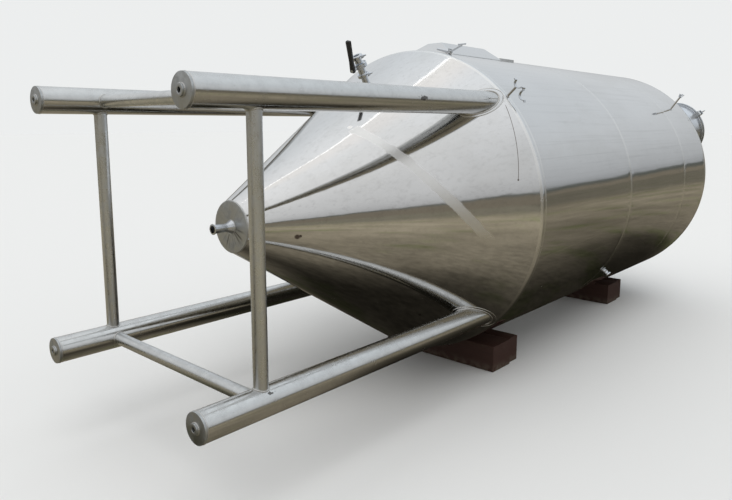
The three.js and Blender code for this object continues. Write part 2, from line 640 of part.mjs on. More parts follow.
// Half of a split band with an ear at each end, hollow side up, in the plane across the tank's axis
function halfBand() {
  const tip = BAND.outer + BAND.ear;
  const earAngle = Math.asin(BAND.earThickness / BAND.outer);
  const shape = new THREE.Shape();
  shape.moveTo(-tip, 0);
  shape.lineTo(-tip, -BAND.earThickness);
  shape.absarc(0, 0, BAND.outer, Math.PI + earAngle, 2 * Math.PI - earAngle, false);
  shape.lineTo(tip, -BAND.earThickness);
  shape.lineTo(tip, 0);
  shape.lineTo(BAND.inner, 0);
  shape.absarc(0, 0, BAND.inner, 0, Math.PI, true);
  const options = { depth: BAND.width, bevelEnabled: false, curveSegments: 12 };
  const band = new THREE.ExtrudeGeometry(shape, options).translate(0, 0, -BAND.width / 2);
  return solid(band.rotateX(Math.PI / 2).rotateZ(Math.PI / 2));
}

// Pipe support: a rod on a small foot, the fixed half of the band, and its open half if that still hangs
function pipeSupport({ turn, lean, length, hanging }) {
  const bandHeight = length + BAND.outer;
  const foot = solid(rodAlongZ(GAP, SUPPORT_FOOT.height, SUPPORT_FOOT.radius, 16));
  const rod = solid(rodAlongZ(SUPPORT_FOOT.height - 1, length + 1, SUPPORT_ROD_RADIUS, 12));
  const fixedHalf = halfBand().rotate([0, 0, hanging ? 0 : 90]).translate([0, 0, bandHeight]);
  const support = foot.add(rod.add(fixedHalf).rotate([-lean, 0, 0]));
  if (!hanging) return support;
  const hingeY = -BAND.outer - BAND.ear;
  const barrel = rodAlongX(-BAND.width / 2, BAND.width / 2, BAND.hingeRadius, 12);
  const open = halfBand().rotate([180, 0, 0]).translate([0, -hingeY, 0]).rotate([HANGING_ANGLE - turn, 0, 0]);
  return support.add(solid(barrel).add(open).translate([0, hingeY, bandHeight]));
}

for (const support of SUPPORTS) {
  standOnShell(add(tank, support.name, brightSteel, pipeSupport(support)), support.x, support.turn);
}

// Opened bracket: a hub with a pin over it, two arms, and a cross bar at the end of the near one
function openedBracket() {
  const [across, up] = OPEN_BRACKET.nearArm;
  const pin = rodAlongX(-BRACKET_HUB.half, BRACKET_HUB.half, BRACKET_HUB.pinRadius, 12);
  const bar = rodAlongY(-BRACKET_BAR.half, BRACKET_BAR.half, BRACKET_BAR.radius, 12);
  return [
    rodAlongX(-BRACKET_HUB.half, BRACKET_HUB.half, BRACKET_HUB.radius, 16),
    pin.translate(0, 0, BRACKET_HUB.pinRise),
    rodAcross(OPEN_BRACKET.farArm, OPEN_BRACKET.armRadius, 12),
    rodAcross(OPEN_BRACKET.nearArm, OPEN_BRACKET.armRadius, 12),
    bar.translate(0, across, up + BRACKET_BAR.rise),
  ].map(solid).reduce((sum, piece) => sum.add(piece));
}

const bracketTurn = radians(OPEN_BRACKET.turn);
const hubReach = TANK_RADIUS + BRACKET_HUB.radius + GAP;
const bracket = add(tank, 'pipe_support_ridge', brightSteel, openedBracket());
bracket.position.set(OPEN_BRACKET.x, -hubReach * Math.sin(bracketTurn), hubReach * Math.cos(bracketTurn));

// Timber blocks
const blockTop = -TANK_RADIUS - GAP;
for (const block of BLOCKS) {
  const x = [block.x - BLOCK.width / 2, block.x + BLOCK.width / 2];
  add(tank, block.name, paintedTimber, box(...x, ...block.y, blockTop - BLOCK.height, blockTop));
}

// Stand the whole on the ground, with the origin under the middle of its outline
const extent = new THREE.Box3().setFromObject(tank, true);
const middle = extent.getCenter(new THREE.Vector3());
tank.position.set(-middle.x, -middle.y, -extent.min.z);

export default tank;
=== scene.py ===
# Looks of a conical-bottomed brewing tank lying on its side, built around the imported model.
# Everything is in metres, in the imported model's own frame: +Z is up and the tank's axis runs along X.
import json
from math import asin, atan, atan2, cos, hypot, pi, radians, sin, sqrt, tan

import bmesh
import bpy
from mathutils import Matrix, Vector, noise


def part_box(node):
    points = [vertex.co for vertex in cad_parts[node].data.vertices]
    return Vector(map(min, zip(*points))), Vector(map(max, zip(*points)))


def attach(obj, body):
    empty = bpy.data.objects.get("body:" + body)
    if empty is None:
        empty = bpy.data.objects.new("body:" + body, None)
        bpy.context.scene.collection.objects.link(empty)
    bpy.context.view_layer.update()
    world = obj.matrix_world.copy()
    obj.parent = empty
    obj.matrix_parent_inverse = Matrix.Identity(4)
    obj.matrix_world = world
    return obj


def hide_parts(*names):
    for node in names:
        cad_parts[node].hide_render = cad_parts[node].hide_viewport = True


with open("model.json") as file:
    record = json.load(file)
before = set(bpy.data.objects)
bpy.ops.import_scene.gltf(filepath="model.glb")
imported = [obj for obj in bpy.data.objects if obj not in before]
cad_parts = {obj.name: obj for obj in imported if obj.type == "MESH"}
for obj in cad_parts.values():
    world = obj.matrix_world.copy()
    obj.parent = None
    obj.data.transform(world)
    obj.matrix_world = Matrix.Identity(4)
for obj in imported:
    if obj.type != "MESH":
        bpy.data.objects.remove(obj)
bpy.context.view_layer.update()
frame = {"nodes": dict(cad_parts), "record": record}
SLOTS = {row["node"]: row["material_slot"] for row in frame["record"]["subparts"]}

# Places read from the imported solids
COURSE_LOW, COURSE_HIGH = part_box("shell_course_lower")
CONE_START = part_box("cone_shell_tip")[0].x
AXIS_Z = (COURSE_LOW.z + COURSE_HIGH.z) / 2
CONE_END_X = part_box("cone_shell_wide")[1].x - CONE_START
SEAM_MIDDLE_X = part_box("shell_course_middle")[0].x - CONE_START
SEAM_UPPER_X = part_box("shell_course_upper")[0].x - CONE_START
HEAD_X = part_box("top_head")[0].x - CONE_START
SEAMS = (SEAM_MIDDLE_X, SEAM_UPPER_X, HEAD_X)
# Shell courses: name, start, end, and the turn of the lengthwise seam in degrees
COURSES = (
    ("lower", CONE_END_X, SEAM_MIDDLE_X, -70),
    ("middle", SEAM_MIDDLE_X, SEAM_UPPER_X, -150),
    ("upper", SEAM_UPPER_X, HEAD_X, -110),
)

# Tank body, measured along its axis from the cone's small end
SKIN = 0.0012
RADIUS = COURSE_HIGH.y - SKIN
WALL = 0.08
CONE_END_RADIUS = 0.126 - SKIN
CONE_LENGTH = 1.34
KNUCKLE_RADIUS = 0.04
CROWN_RADIUS = 1.83 - SKIN
HEAD_KNUCKLE_RADIUS = 0.2 - SKIN
AROUND = 288
WARP = 0.0005

# How the sheet is drawn in beside its seams, and where its rings of points lie
WELD_PULL = 0.0009
WELD_REACH = 0.06
BEAD_HALF = 0.0045
BEAD_RISE = 0.0004
SEAM_STEPS = (0, 0.0015, 0.003, 0.0045, 0.006, 0.009, 0.013, 0.018, 0.024, 0.03, 0.037, 0.045, 0.053, 0.061)
COARSE_STEP = 0.05
LEAST_STEP = 0.0008

# Widths of rounded edges, the flattest corner that is rounded in degrees, and the most a corner is cut
FINE_EDGE = 0.0008
EDGE = 0.0015
BROAD_EDGE = 0.002
CORNER_BELOW = 168
MOST_CUT = 0.45

# Sides and steps of round pieces
BEAD_SIDES = 8
BAR_SIDES = 32
BRACE_SIDES = 72
LEG_SIDES = 96
LEG_BEAD_STEPS = 330
BRACE_BEAD_STEPS = 160
MANWAY_SIDES = 144
HEAD_SIDES = 192
HEAD_STEPS = 30
HEAD_INSIDE_STEPS = 12
HEAD_KNUCKLE_STEPS = 14
CONE_STEPS = 30
KNUCKLE_STEPS = 10
LID_STEPS = 16
ARC_STEPS = 8
BAND_STEPS = 16
COVER_BEAD_STEPS = 60

# Thickness of the weld beads
FOOT_BEAD = 0.0025
BRACE_BEAD = 0.003
END_PLATE_BEAD = 0.003
OUTLET_BEAD = 0.0018
COVER_BEAD = 0.0022
COLLAR_BEAD = 0.005
HINGE_BEAD = 0.0035
CLAMP_BEAD = 0.003
NECK_BEAD = 0.0025
SIDE_PORT_BEAD = 0.002
SUPPORT_BEAD = 0.0016
RIDGE_BEAD = 0.0022

# Tubes, ferrules and the outlet
TUBE_RADIUS = 0.019
TUBE_BORE = 0.0174
FERRULE_RADIUS = 0.0253
FERRULE_RIM = 0.0035
FERRULE_LENGTH = 0.0105
END_PLATE = 0.006
OUTLET_LENGTH = 0.11
OUTLET_INSIDE = 0.014
FLARE = ((0.0205, -0.034), (0.024, -0.024), (0.0285, -0.013))
FLARE_RADIUS = 0.034

# Legs, feet and cross braces
LEG_OFFSET = 0.59
LEG_RADIUS = 0.062
LEG_WALL = 0.005
FOOT_FACE_X = -0.624
FOOT_PLATE = 0.012
BOSS_RADIUS = 0.023
BOSS_HEIGHT = 0.01
FOOT_HOLE_RADIUS = 0.01
BRACE_X = -0.324
BRACE_RADIUS = 0.03
BRACE_WALL = 0.003
PAD_MARGIN = 0.014
PAD_THICKNESS = 0.003
# Welds at a leg's root and round its pad: name, reach past the leg, rise over the cone, thickness
LEG_WELDS = (("root", 0.0015, PAD_THICKNESS, 0.0045), ("edge", PAD_MARGIN, 0.0005, 0.0028))

# Raised cover and lug on the fittings side
COVER_X = 1.857
COVER_TOP = (0.495, 0.11)
COVER_ENDS = (-0.325, 0.256)
COVER_WIDTH = 0.38
COVER_HEIGHT = 0.068
COVER_SIDE_DROP = 0.018
COVER_SINK = 0.06
LUG_SINK = 0.01

# Manway on the head
MANWAY_OFFSET = 0.651
MANWAY_TURN = radians(53.2)
COLLAR_RADIUS = 0.225
COLLAR_WALL = 0.006
COLLAR_HEIGHT = 0.14
COLLAR_SINK = 0.03
COLLAR_RIM_RADIUS = 0.238
COLLAR_RIM = 0.01
GASKET = 0.005
HOLE_DEPTH = 0.5
# Where the collar meets the head is found by halving a depth; flatter corners of the head shade smooth
JOINT_DEPTH = 0.4
JOINT_HALVINGS = 26
SMOOTH_FACING = 0.9
LID_RADIUS = 0.25
LID_PLATE = 0.008
LID_DISH_RADIUS = 0.205
LID_RISE = 0.032
LID_BASE = GASKET + 0.0003
LID_TOP = LID_BASE + LID_PLATE
EAR_TOP = LID_TOP + 0.004
HINGE_REACH = 0.29
HINGE_HEIGHT = 0.014
HINGE_FOOT_X = -0.2225
PIN_RADIUS = 0.008
PIN_HALF = 0.0495
EYE_RADIUS = 0.017
ARM_HALF = 0.022
BRACKET_HALF = 0.042
CHEEK = 0.015
CHEEK_ROUND = 0.018
CLAMP_REACH = 0.262
CLAMP_END = CLAMP_REACH + 0.02
CLAMP_HALF = 0.02
FORK_SLOT = 0.0075
SCREW_RADIUS = 0.006
SCREW_LOW = -0.0265
THREAD_PITCH = 0.0018
THREAD_DEPTH = 0.0006
WASHER = 0.0025

# Racking port on the cone and its butterfly valve
PORT_X = 0.966
PORT_INSIDE = 0.02
NECK_FLARE_RADIUS = 0.0275
VALVE_HEIGHT = 0.124
VALVE_HALF = 0.058
VALVE_RADIUS = 0.04
VALVE_WAIST = 0.021
VALVE_GROOVE = 0.003
NECK_TOP = VALVE_HEIGHT - VALVE_HALF - 0.002
VALVE_BOTTOM = NECK_TOP + 0.0003
VALVE_TOP = VALVE_HEIGHT + VALVE_HALF
FLANGE_HALF = 0.012
FLANGE_GAP_HALF = 0.0018
FLANGE_BOLTS = 0.032
CLAMP_RING_RADIUS = 0.033
RING_HALF = 0.0105
STEM_RADIUS = 0.006
STEM_BORE = STEM_RADIUS + 0.0005
LEVER_OFFSET = 0.066
LEVER_LENGTH = 0.176
LEVER_WIDTH = 0.029
LEVER_THICKNESS = 0.012
LEVER_HEEL = 0.012
LEVER_TURN = radians(15)
DISC_HALF = 0.002
DISC_EDGE_HALF = 0.0008
DISC_RADIUS = TUBE_BORE - 0.0006

# Side port, as its turn from straight up
SIDE_PORT_X = 2.795
SIDE_PORT_TURN = 130.2
SIDE_PORT_STAND_OFF = 0.026
SIDE_PORT_RADIUS = 0.027

# Pipe supports
LOWER_SUPPORT = {"x": 1.356, "turn": 46.7, "lean": 0.0, "length": 0.066}
UPPER_SUPPORT = {"x": 4.02, "turn": 49.3, "lean": 14.5, "length": 0.115}
HANGING_TURN = 262
ROD_RADIUS = 0.0075
BAND_INNER = 0.0245
BAND_OUTER = 0.0285
BAND_WIDTH = 0.02
BAND_EAR = 0.009
BAND_TIP = BAND_OUTER + BAND_EAR
EAR_THICKNESS = 0.005
OPEN_BRACKET_X = 1.46
OPEN_BRACKET_TURN = radians(13.6)
FAR_ARM = (0, 0.092, 0.024)
NEAR_ARM = (0, -0.082, 0.032)
BAR_HALF = 0.0268
BAR_RISE = 0.005
HUB_RADIUS = 0.011

# Timber blocks: each of two planks, the second a little shorter and lower
PLANK_SPLIT = 0.66
PLANK_GAP_HALF = 0.001
SAW_DEPTH = 0.0022
SAW_STEPS = 60

TANK = Matrix.Translation((CONE_START, 0, AXIS_Z))
ALONG = TANK @ Matrix.Rotation(pi / 2, 4, "Y")
# Turns a plate's own plane across the tank: its width along Y, its length up, its thickness along X
UPRIGHT = Matrix.Rotation(pi / 2, 4, "Z") @ Matrix.Rotation(pi / 2, 4, "X")
CROSSWISE = Matrix.Rotation(-pi / 2, 4, "X")
LENGTHWISE = Matrix.Rotation(pi / 2, 4, "Y")
SIDES = ((-1, "a"), (1, "b"))
cone_angle = atan((RADIUS - CONE_END_RADIUS) / CONE_LENGTH)
cone_apex = (CONE_END_RADIUS + SKIN) / tan(cone_angle)

# Camera at the photograph's viewing angle, its turns in degrees
CAMERA_PLACE = (-3.92568, -2.44981, 1.56147)
CAMERA_YAW = 43.0508
CAMERA_PITCH = -8.9069
CAMERA_ROLL = -0.164
CAMERA_LENS = 31.613
CAMERA_SHIFT = (0.02454, -0.03376)

# What the steel reflects: brightness of the sky by height, and of the ground by distance from the axis,
# darkest near it as a painted shadow of the tank
SKY = ((0.04, 0.4), (0.08, 0.52), (0.14, 0.58), (0.21, 0.66), (0.31, 0.75), (0.54, 0.82), (0.71, 0.92),
       (1.0, 1.1))
SKY_SCALE = 1.2
GROUND_AND_SHADOW = ((0.0, 0.012), (0.7, 0.02), (1.0, 0.045), (1.3, 0.09), (1.5, 0.16), (1.8, 0.22), (2.5, 0.26),
          (4.0, 0.32), (5.0, 0.37), (7.5, 0.4), (10.0, 0.36), (14.0, 0.24))
GROUND_REACH = 15.0
FAR_GROUND = 12
HEAD_END_X = 2.5
FLOOR = (0.78, 0.78, 0.77, 1)
BACKDROP = (0.842, 0.855, 0.855, 1)
# Where a thin bright rift of the sky runs: how far to the side, by how far ahead past its start
RIFT_START = 0.1
RIFT = ((0.028, 0.2225), (0.128, 0.1577), (0.332, 0.2519), (0.409, 0.2539))

# Marks of the shell: places along the axis, and turns in degrees from straight up to the near side
BAND_HALF = 0.016
KNUCKLE_LINES = (-0.021, 0.013)
PLATE_SEAM = 0.957
PLATE_SEAM_HALF = 0.028
PLATE_SEAM_TURNS = (radians(22.7), radians(103))
STAINS = ((0.199, 101, 0.015), (0.212, 100, 0.009), (0.958, 144.8, 0.01), (1.22, 77, 0.006))
# Painted highlights: glints of light laid on the shell as lighter, duller spots
PAINTED_GLINTS = ((0.63, 21, 0.014), (1.602, 119.9, 0.006))
# A dried run and two scratches, each from one place to another
RUN = ((radians(49.9), 1.306), (radians(77), 1.22))
RUN_HALF = 0.0014
SCRATCHES = ((1.439, 105.5, 2.195, 102.9), (1.502, 110.8, 2.453, 109.6))
# Dark marks of the tubes: a place of the tank's frame and a radius
TUBE_MARKS = ((0.622, -0.6517, 0.5957, 0.0125), (-0.309, -0.6313, -0.5437, 0.006))


def add_camera():
    data = bpy.data.cameras.new("camera")
    data.sensor_width = 36
    data.lens = CAMERA_LENS
    data.shift_x, data.shift_y = CAMERA_SHIFT
    data.clip_end = 500
    camera = bpy.data.objects.new("camera", data)
    yaw, pitch, roll = (radians(turn) for turn in (CAMERA_YAW, CAMERA_PITCH, CAMERA_ROLL))
    aim = Matrix.Rotation(yaw - pi / 2, 4, "Z") @ Matrix.Rotation(pi / 2 + pitch, 4, "X")
    camera.matrix_world = Matrix.Translation(CAMERA_PLACE) @ aim @ Matrix.Rotation(roll, 4, "Z")
    bpy.context.scene.collection.objects.link(camera)
    bpy.context.scene.camera = camera
    bpy.context.scene.view_settings.view_transform = "Standard"


class Graph:
    """Short calls for the nodes of one material or world."""

    def __init__(self, tree):
        self.tree = tree
        tree.nodes.clear()

    def set(self, socket, value):
        if isinstance(value, bpy.types.NodeSocket):
            self.tree.links.new(value, socket)
        else:
            socket.default_value = value

    def node(self, kind, inputs=None, **settings):
        made = self.tree.nodes.new(f"ShaderNode{kind}")
        for key, value in settings.items():
            setattr(made, key, value)
        for key, value in (inputs or {}).items():
            self.set(made.inputs[key], value)
        return made

    def math(self, operation, *values):
        return self.node("Math", dict(enumerate(values)), operation=operation).outputs[0]

    def chain(self, operation, values):
        """One operation carried along a row of values."""
        result = values[0]
        for value in values[1:]:
            result = self.math(operation, result, value)
        return result

    def plus(self, *values):
        return self.chain("ADD", values)

    def less(self, *values):
        return self.chain("SUBTRACT", values)

    def times(self, *values):
        return self.chain("MULTIPLY", values)

    def most(self, *values):
        return self.chain("MAXIMUM", values)

    def weigh(self, value, factor, rest):
        """A value times a factor, added to the rest."""
        return self.math("MULTIPLY_ADD", value, factor, rest)

    def length(self, *sides):
        return self.math("SQRT", self.plus(*[self.times(side, side) for side in sides]))

    def fade(self, value, start, end, low=0.0, high=1.0):
        """A smooth change from low to high as a value goes from start to end."""
        inputs = {"Value": value, "From Min": start, "From Max": end, "To Min": low, "To Max": high}
        return self.node("MapRange", inputs, interpolation_type="SMOOTHSTEP").outputs[0]

    def near(self, value, centre, half, soft):
        """One within a half width of a centre, fading to nought outside it."""
        return self.fade(self.math("ABSOLUTE", self.less(value, centre)), half + soft, half - soft)

    def ramp(self, value, *stops):
        """A colour ramp through (position, colour) stops."""
        made = self.node("ValToRGB", {"Fac": value})
        elements = made.color_ramp.elements
        while len(elements) < len(stops):
            elements.new(0.5)
        for element, (position, colour) in zip(elements, stops):
            element.position = position
            element.color = (*colour, 1)
        return made.outputs["Color"]

    def mix(self, factor, a, b, blend="MIX"):
        made = self.node("Mix", data_type="RGBA", blend_type=blend)
        for at, value in ((0, factor), (6, a), (7, b)):
            self.set(made.inputs[at], (*value, 1) if isinstance(value, tuple) else value)
        return made.outputs[2]

    def layered(self, base, *layers):
        """A colour with (factor, colour) layers laid over it in turn."""
        for factor, colour in layers:
            base = self.mix(factor, base, colour)
        return base

    def place(self):
        return self.node("TexCoord").outputs["Object"]

    def split(self, vector):
        return self.node("SeparateXYZ", {"Vector": vector}).outputs

    def noise(self, scale, detail=4.0, roughness=0.55, vector=None):
        """Noise over the object's own frame or another vector, its scale one number or three."""
        vector = vector or self.place()
        if isinstance(scale, tuple):
            vector = self.node("Mapping", {"Vector": vector, "Scale": scale}).outputs["Vector"]
            scale = 1.0
        inputs = {"Vector": vector, "Scale": scale, "Detail": detail, "Roughness": roughness}
        return self.node("TexNoise", inputs).outputs["Fac"]

    def bump(self, height, distance, normal=None):
        inputs = {"Height": height, "Strength": 1.0, "Distance": distance}
        if normal:
            inputs["Normal"] = normal
        return self.node("Bump", inputs).outputs[0]

    def facing_up(self):
        return self.split(self.node("NewGeometry").outputs["Normal"])["Z"]

    def principled(self, base, rough, normal, metallic=0.0):
        """Ends a material's graph with its surface."""
        inputs = {"Base Color": base, "Metallic": metallic, "Roughness": rough, "Normal": normal}
        self.node("OutputMaterial", {"Surface": self.node("BsdfPrincipled", inputs).outputs[0]})

    def by_ray(self, ray, others, seen):
        """One shader for a kind of ray, and another for the rest."""
        rays = self.node("LightPath").outputs[ray]
        return self.node("MixShader", {0: rays, 1: others, 2: seen}).outputs[0]


def new_graph(name):
    material = bpy.data.materials.new(name)
    material.use_nodes = True
    return material, Graph(material.node_tree)


def shade(colour, factor):
    return tuple(min(1, c * factor) for c in colour)


def spots(g, h, turn, places):
    """Small round marks at (h, turn, radius) places of the shell."""
    found = []
    for at, degrees, radius in places:
        reach = min(RADIUS, CONE_END_RADIUS + at * tan(cone_angle))
        around = g.times(g.less(turn, radians(degrees)), reach)
        found.append(g.fade(g.length(g.less(h, at), around), radius, radius * 0.5))
    return g.most(*found)


def line(g, along, across, start, end, half, soft):
    """A thin straight mark between two (along, across) places."""
    share = g.math("DIVIDE", g.less(along, start[0]), end[0] - start[0])
    at = g.weigh(share, end[1] - start[1], start[1])
    return g.times(g.near(g.less(across, at), 0.0, half, soft), g.near(share, 0.5, 0.5, 0.02))


def shell_marks(g):
    """Masks of the shell: ground dull, its plate seam alone, stained dark, and bright with painted glints and
    real scratches.
    """
    x, y, h = g.split(g.place())
    turn = g.math("ARCTAN2", g.times(y, -1.0), g.times(x, -1.0))
    dull = [g.near(h, seam, BAND_HALF, 0.004) for seam in SEAMS]
    dull += [g.near(h, CONE_END_X + offset, 0.008, 0.002) for offset in KNUCKLE_LINES]
    for _, start, end, degrees in COURSES:
        along = g.near(h, (start + end) / 2, (end - start) / 2, 0.004)
        dull.append(g.times(along, g.near(turn, radians(degrees), 0.012, 0.003)))
    half_turn = g.math("WRAP", turn, pi, 0.0)
    slant = g.math("DIVIDE", g.plus(h, cone_apex), cos(cone_angle))
    reach = g.times(slant, g.math("COSINE", g.times(half_turn, sin(cone_angle))))
    low, high = PLATE_SEAM_TURNS
    within = g.times(g.fade(half_turn, low, low + 0.03), g.fade(half_turn, high, high - 0.16))
    ragged = g.weigh(g.noise(14, 3), 0.02, reach)
    plate = g.near(ragged, PLATE_SEAM + 0.01, PLATE_SEAM_HALF, 0.006)
    plate = g.times(plate, within, g.fade(h, CONE_LENGTH, CONE_LENGTH - 0.01))
    dark = g.most(spots(g, h, turn, STAINS), line(g, turn, h, *RUN, RUN_HALF, RUN_HALF * 0.6))
    # Painted highlights at the glints, then the scratches
    bright = [spots(g, h, turn, PAINTED_GLINTS)]
    for h0, turn0, h1, turn1 in SCRATCHES:
        scratch = line(g, h, turn, (h0, radians(turn0)), (h1, radians(turn1)), 0.0022, 0.0015)
        bright.append(g.times(scratch, 0.35))
    return g.most(*dull, plate), plate, dark, g.most(*bright)


def shell_steel():
    """The shell's polished sheet, with lengthwise streaks, ground seams, stains, scuffs and painted glints.
    """
    material, g = new_graph("shell_steel")
    dull, plate, dark, bright = shell_marks(g)
    clouds = g.noise(2.3, 5)
    lines = g.noise((46, 46, 0.7), 4, 0.7)
    hoops = g.noise((1.5, 1.5, 38), 5, 0.6)
    smears = g.noise((3.5, 3.5, 1.3), 6, 0.6)
    scuffs = g.fade(g.noise((9, 9, 2), 8, 0.75), 0.56, 0.74)
    tone = g.layered(
        g.mix(clouds, (0.61, 0.615, 0.62), (0.7, 0.705, 0.71)),
        (g.fade(smears, 0.42, 0.7, high=0.5), (0.56, 0.56, 0.55)),
        (g.times(scuffs, 0.4), (0.48, 0.48, 0.47)),
        (g.times(g.fade(lines, 0.48, 0.75), 0.45), (0.5, 0.5, 0.5)),
        (g.times(g.fade(hoops, 0.55, 0.8), 0.14), (0.52, 0.52, 0.52)),
        (g.times(dull, 0.75), (0.75, 0.75, 0.74)),
        (g.times(dark, 0.9), (0.1, 0.07, 0.055)),
        # Painted glints and real scratches, lighter
        (bright, (0.9, 0.89, 0.87)),
    )
    rough = 0.02
    shares = ((clouds, 0.04), (lines, 0.05), (smears, 0.03), (scuffs, 0.12), (dull, 0.16), (plate, 0.16))
    for value, factor in shares:
        rough = g.weigh(value, factor, rough)
    rough = g.most(rough, g.times(g.most(dark, bright), 0.5))
    normal = None
    heights = ((lines, 0.00007), (hoops, 0.00002), (g.noise((1.7, 1.7, 1.02), 1), 0.006),
               (g.noise((7, 7, 2.1), 2), 0.0006))
    for height, distance in heights:
        normal = g.bump(height, distance, normal)
    g.principled(tone, rough, normal, metallic=1.0)
    return material


def marks_at(g, marks):
    """Ragged dark marks about places of the tank's frame, longer along the tank than across."""
    x, y, z = g.split(g.place())
    ragged = g.times(g.less(g.noise(90, 3), 0.5), 0.022)
    found = []
    for mark_x, mark_y, mark_z, radius in marks:
        away = g.length(g.times(g.less(x, mark_x), 0.36), g.less(y, mark_y), g.less(z, mark_z))
        found.append(g.fade(g.plus(away, ragged), radius, radius * 0.7))
    return g.most(*found)


def smears_at(g):
    """Dark streaks down the cone's end plate from its nozzle, and fainter ones all round."""
    down, side, _ = g.split(g.place())
    flat = g.node("CombineXYZ", {"X": down, "Y": side}).outputs[0]
    outward = g.node("VectorMath", {0: flat}, operation="NORMALIZE").outputs["Vector"]
    reach = g.node("VectorMath", {0: flat}, operation="LENGTH").outputs["Value"]
    streaks = g.fade(g.noise(4.5, 3, 0.6, outward), 0.5, 0.62)
    below = g.fade(down, -0.01, 0.03, 0.2, 1.0)
    return g.times(streaks, below, g.fade(reach, 0.03, 0.04), g.fade(reach, 0.115, 0.07))


def steel(name, colour, roughness, grain, dirt, settled=0.0, marks=(), smeared=False):
    """Stainless steel with a fine grain, cloudy polish, specks and dust that settles on its upper side."""
    material, g = new_graph(name)
    clouds = g.noise(3.1, 5)
    lines = g.noise(grain, 3, 0.7)
    blots = g.noise(17, 8, 0.75)
    dust = g.fade(blots, 0.42, 0.7, high=dirt)
    if settled:
        top = g.fade(g.facing_up(), 0.1, 0.95)
        dust = g.most(dust, g.times(top, g.fade(blots, 0.35, 0.65), settled))
    specks = g.fade(g.noise(160, 2), 0.7, 0.78, high=0.5)
    layers = [(dust, shade(colour, 0.72)), (specks, (0.14, 0.12, 0.1))]
    if marks:
        layers.append((g.times(marks_at(g, marks), 0.85), (0.06, 0.055, 0.05)))
    if smeared:
        layers.append((g.times(smears_at(g), 0.8), (0.09, 0.085, 0.08)))
    base = g.layered(g.mix(clouds, shade(colour, 0.88), colour), *layers)
    rough = g.weigh(clouds, roughness * 0.5, g.times(lines, roughness))
    rough = g.weigh(dust, 0.4, g.plus(rough, roughness * 0.25))
    g.principled(base, rough, g.bump(lines, 0.00006), metallic=1.0)
    return material


def plain(name, colour, roughness, speckle, wear=0.3):
    """Plastic or rubber with a little variation and wear."""
    material, g = new_graph(name)
    blots = g.noise(speckle, 8)
    base = g.mix(blots, shade(colour, 0.7), shade(colour, 1.3))
    base = g.mix(g.fade(blots, 0.58, 0.72, high=wear), base, (0.3, 0.29, 0.27))
    g.principled(base, roughness, g.bump(blots, 0.0003))
    return material


def timber():
    """Sawn timber under worn red-brown paint, its grain along its own Y."""
    material, g = new_graph("block_timber")
    grain = g.noise((60, 2.2, 60), 6, 0.65)
    rings = g.noise((11, 0.4, 11), 2)
    wear = g.fade(g.noise((9, 3, 9), 8, 0.8), 0.56, 0.68)
    paint = g.mix(grain, (0.03, 0.012, 0.008), (0.066, 0.027, 0.018))
    wood = g.mix(rings, (0.06, 0.04, 0.026), (0.12, 0.085, 0.055))
    wood = g.mix(g.fade(grain, 0.35, 0.6), (0.05, 0.035, 0.025), wood)
    low = g.fade(g.split(g.place())["Z"], -0.02, -0.075, high=0.6)
    soil = g.times(low, g.fade(g.noise(30, 6), 0.35, 0.65))
    base = g.layered(paint, (wear, wood), (soil, (0.13, 0.11, 0.08)))
    normal = g.bump(wear, -0.0004, g.bump(grain, 0.0012))
    g.principled(base, g.weigh(wear, 0.25, 0.62), normal)
    return material


# Steels: colour, roughness, grain, dirt, settled dust, dark marks, smears
STEELS = {
    "sheet_steel": ((0.66, 0.665, 0.67), 0.12, (40, 40, 1), 0.06),
    "tube_steel": ((0.64, 0.645, 0.64), 0.13, (2, 60, 60), 0.4, 0.5, TUBE_MARKS),
    "brace_steel": ((0.68, 0.7, 0.71), 0.27, (60, 60, 3), 0.5, 0.5),
    "end_steel": ((0.56, 0.58, 0.59), 0.4, (60, 60, 60), 0.8, 0.0, (), True),
    "plate_steel": ((0.52, 0.54, 0.55), 0.36, (60, 60, 60), 0.8),
    "bright_steel": ((0.66, 0.69, 0.73), 0.24, (20, 20, 20), 0.3),
    "weld_steel": ((0.66, 0.655, 0.64), 0.34, (200, 200, 200), 0.3),
}
MATERIALS = {name: steel(name, *look) for name, look in STEELS.items()}
MATERIALS["shell_steel"] = shell_steel()
MATERIALS["black_grip"] = plain("black_grip", (0.008, 0.008, 0.0085), 0.42, 60, 0.06)
MATERIALS["gasket_rubber"] = plain("gasket_rubber", (0.75, 0.73, 0.66), 0.6, 20)
MATERIALS["block_timber"] = timber()


def sky_colour(g):
    """An overcast sky over a far tree line, warmer beside a bright rift near its top."""
    direction = g.node("TexCoord").outputs["Generated"]
    ahead, side, height = g.split(direction)
    sky = g.ramp(height, *((position, (value / SKY_SCALE,) * 3) for position, value in SKY))
    blue = g.times(g.fade(ahead, -0.3, 0.9), g.fade(height, 0.1, 0.75, 0.45, 1.0))
    sky = g.mix(1.0, sky, g.mix(blue, (1.0, 1.0, 0.995), (0.935, 1.0, 1.055)), "MULTIPLY")
    middle = g.ramp(g.plus(ahead, RIFT_START), *((at, (value,) * 3) for at, value in RIFT))
    beside = g.less(middle, side)
    within = g.times(g.fade(ahead, -0.13, -0.08), g.fade(ahead, 0.37, 0.31))
    warm = g.times(g.fade(beside, 0.0, 0.01), g.fade(beside, 0.34, 0.1), within)
    sky = g.mix(g.times(warm, 0.8), sky, (0.98, 0.95, 0.9), "LIGHTEN")
    rift = g.times(g.near(beside, 0.0, 0.0022, 0.002), within)
    sky = g.mix(rift, sky, (4.2, 4.1, 4.0), "LIGHTEN")
    top = g.fade(ahead, 0.0, 0.94, 0.11, 0.038)
    ragged = g.noise(14, 5, 0.7, direction)
    below = g.less(g.weigh(g.less(ragged, 0.5), 0.03, top), height)
    trees = g.mix(g.fade(below, 0.015, 0.03), (0.095, 0.1, 0.088), (0.19, 0.165, 0.125))
    return g.mix(g.fade(below, -0.004, 0.004), sky, trees)


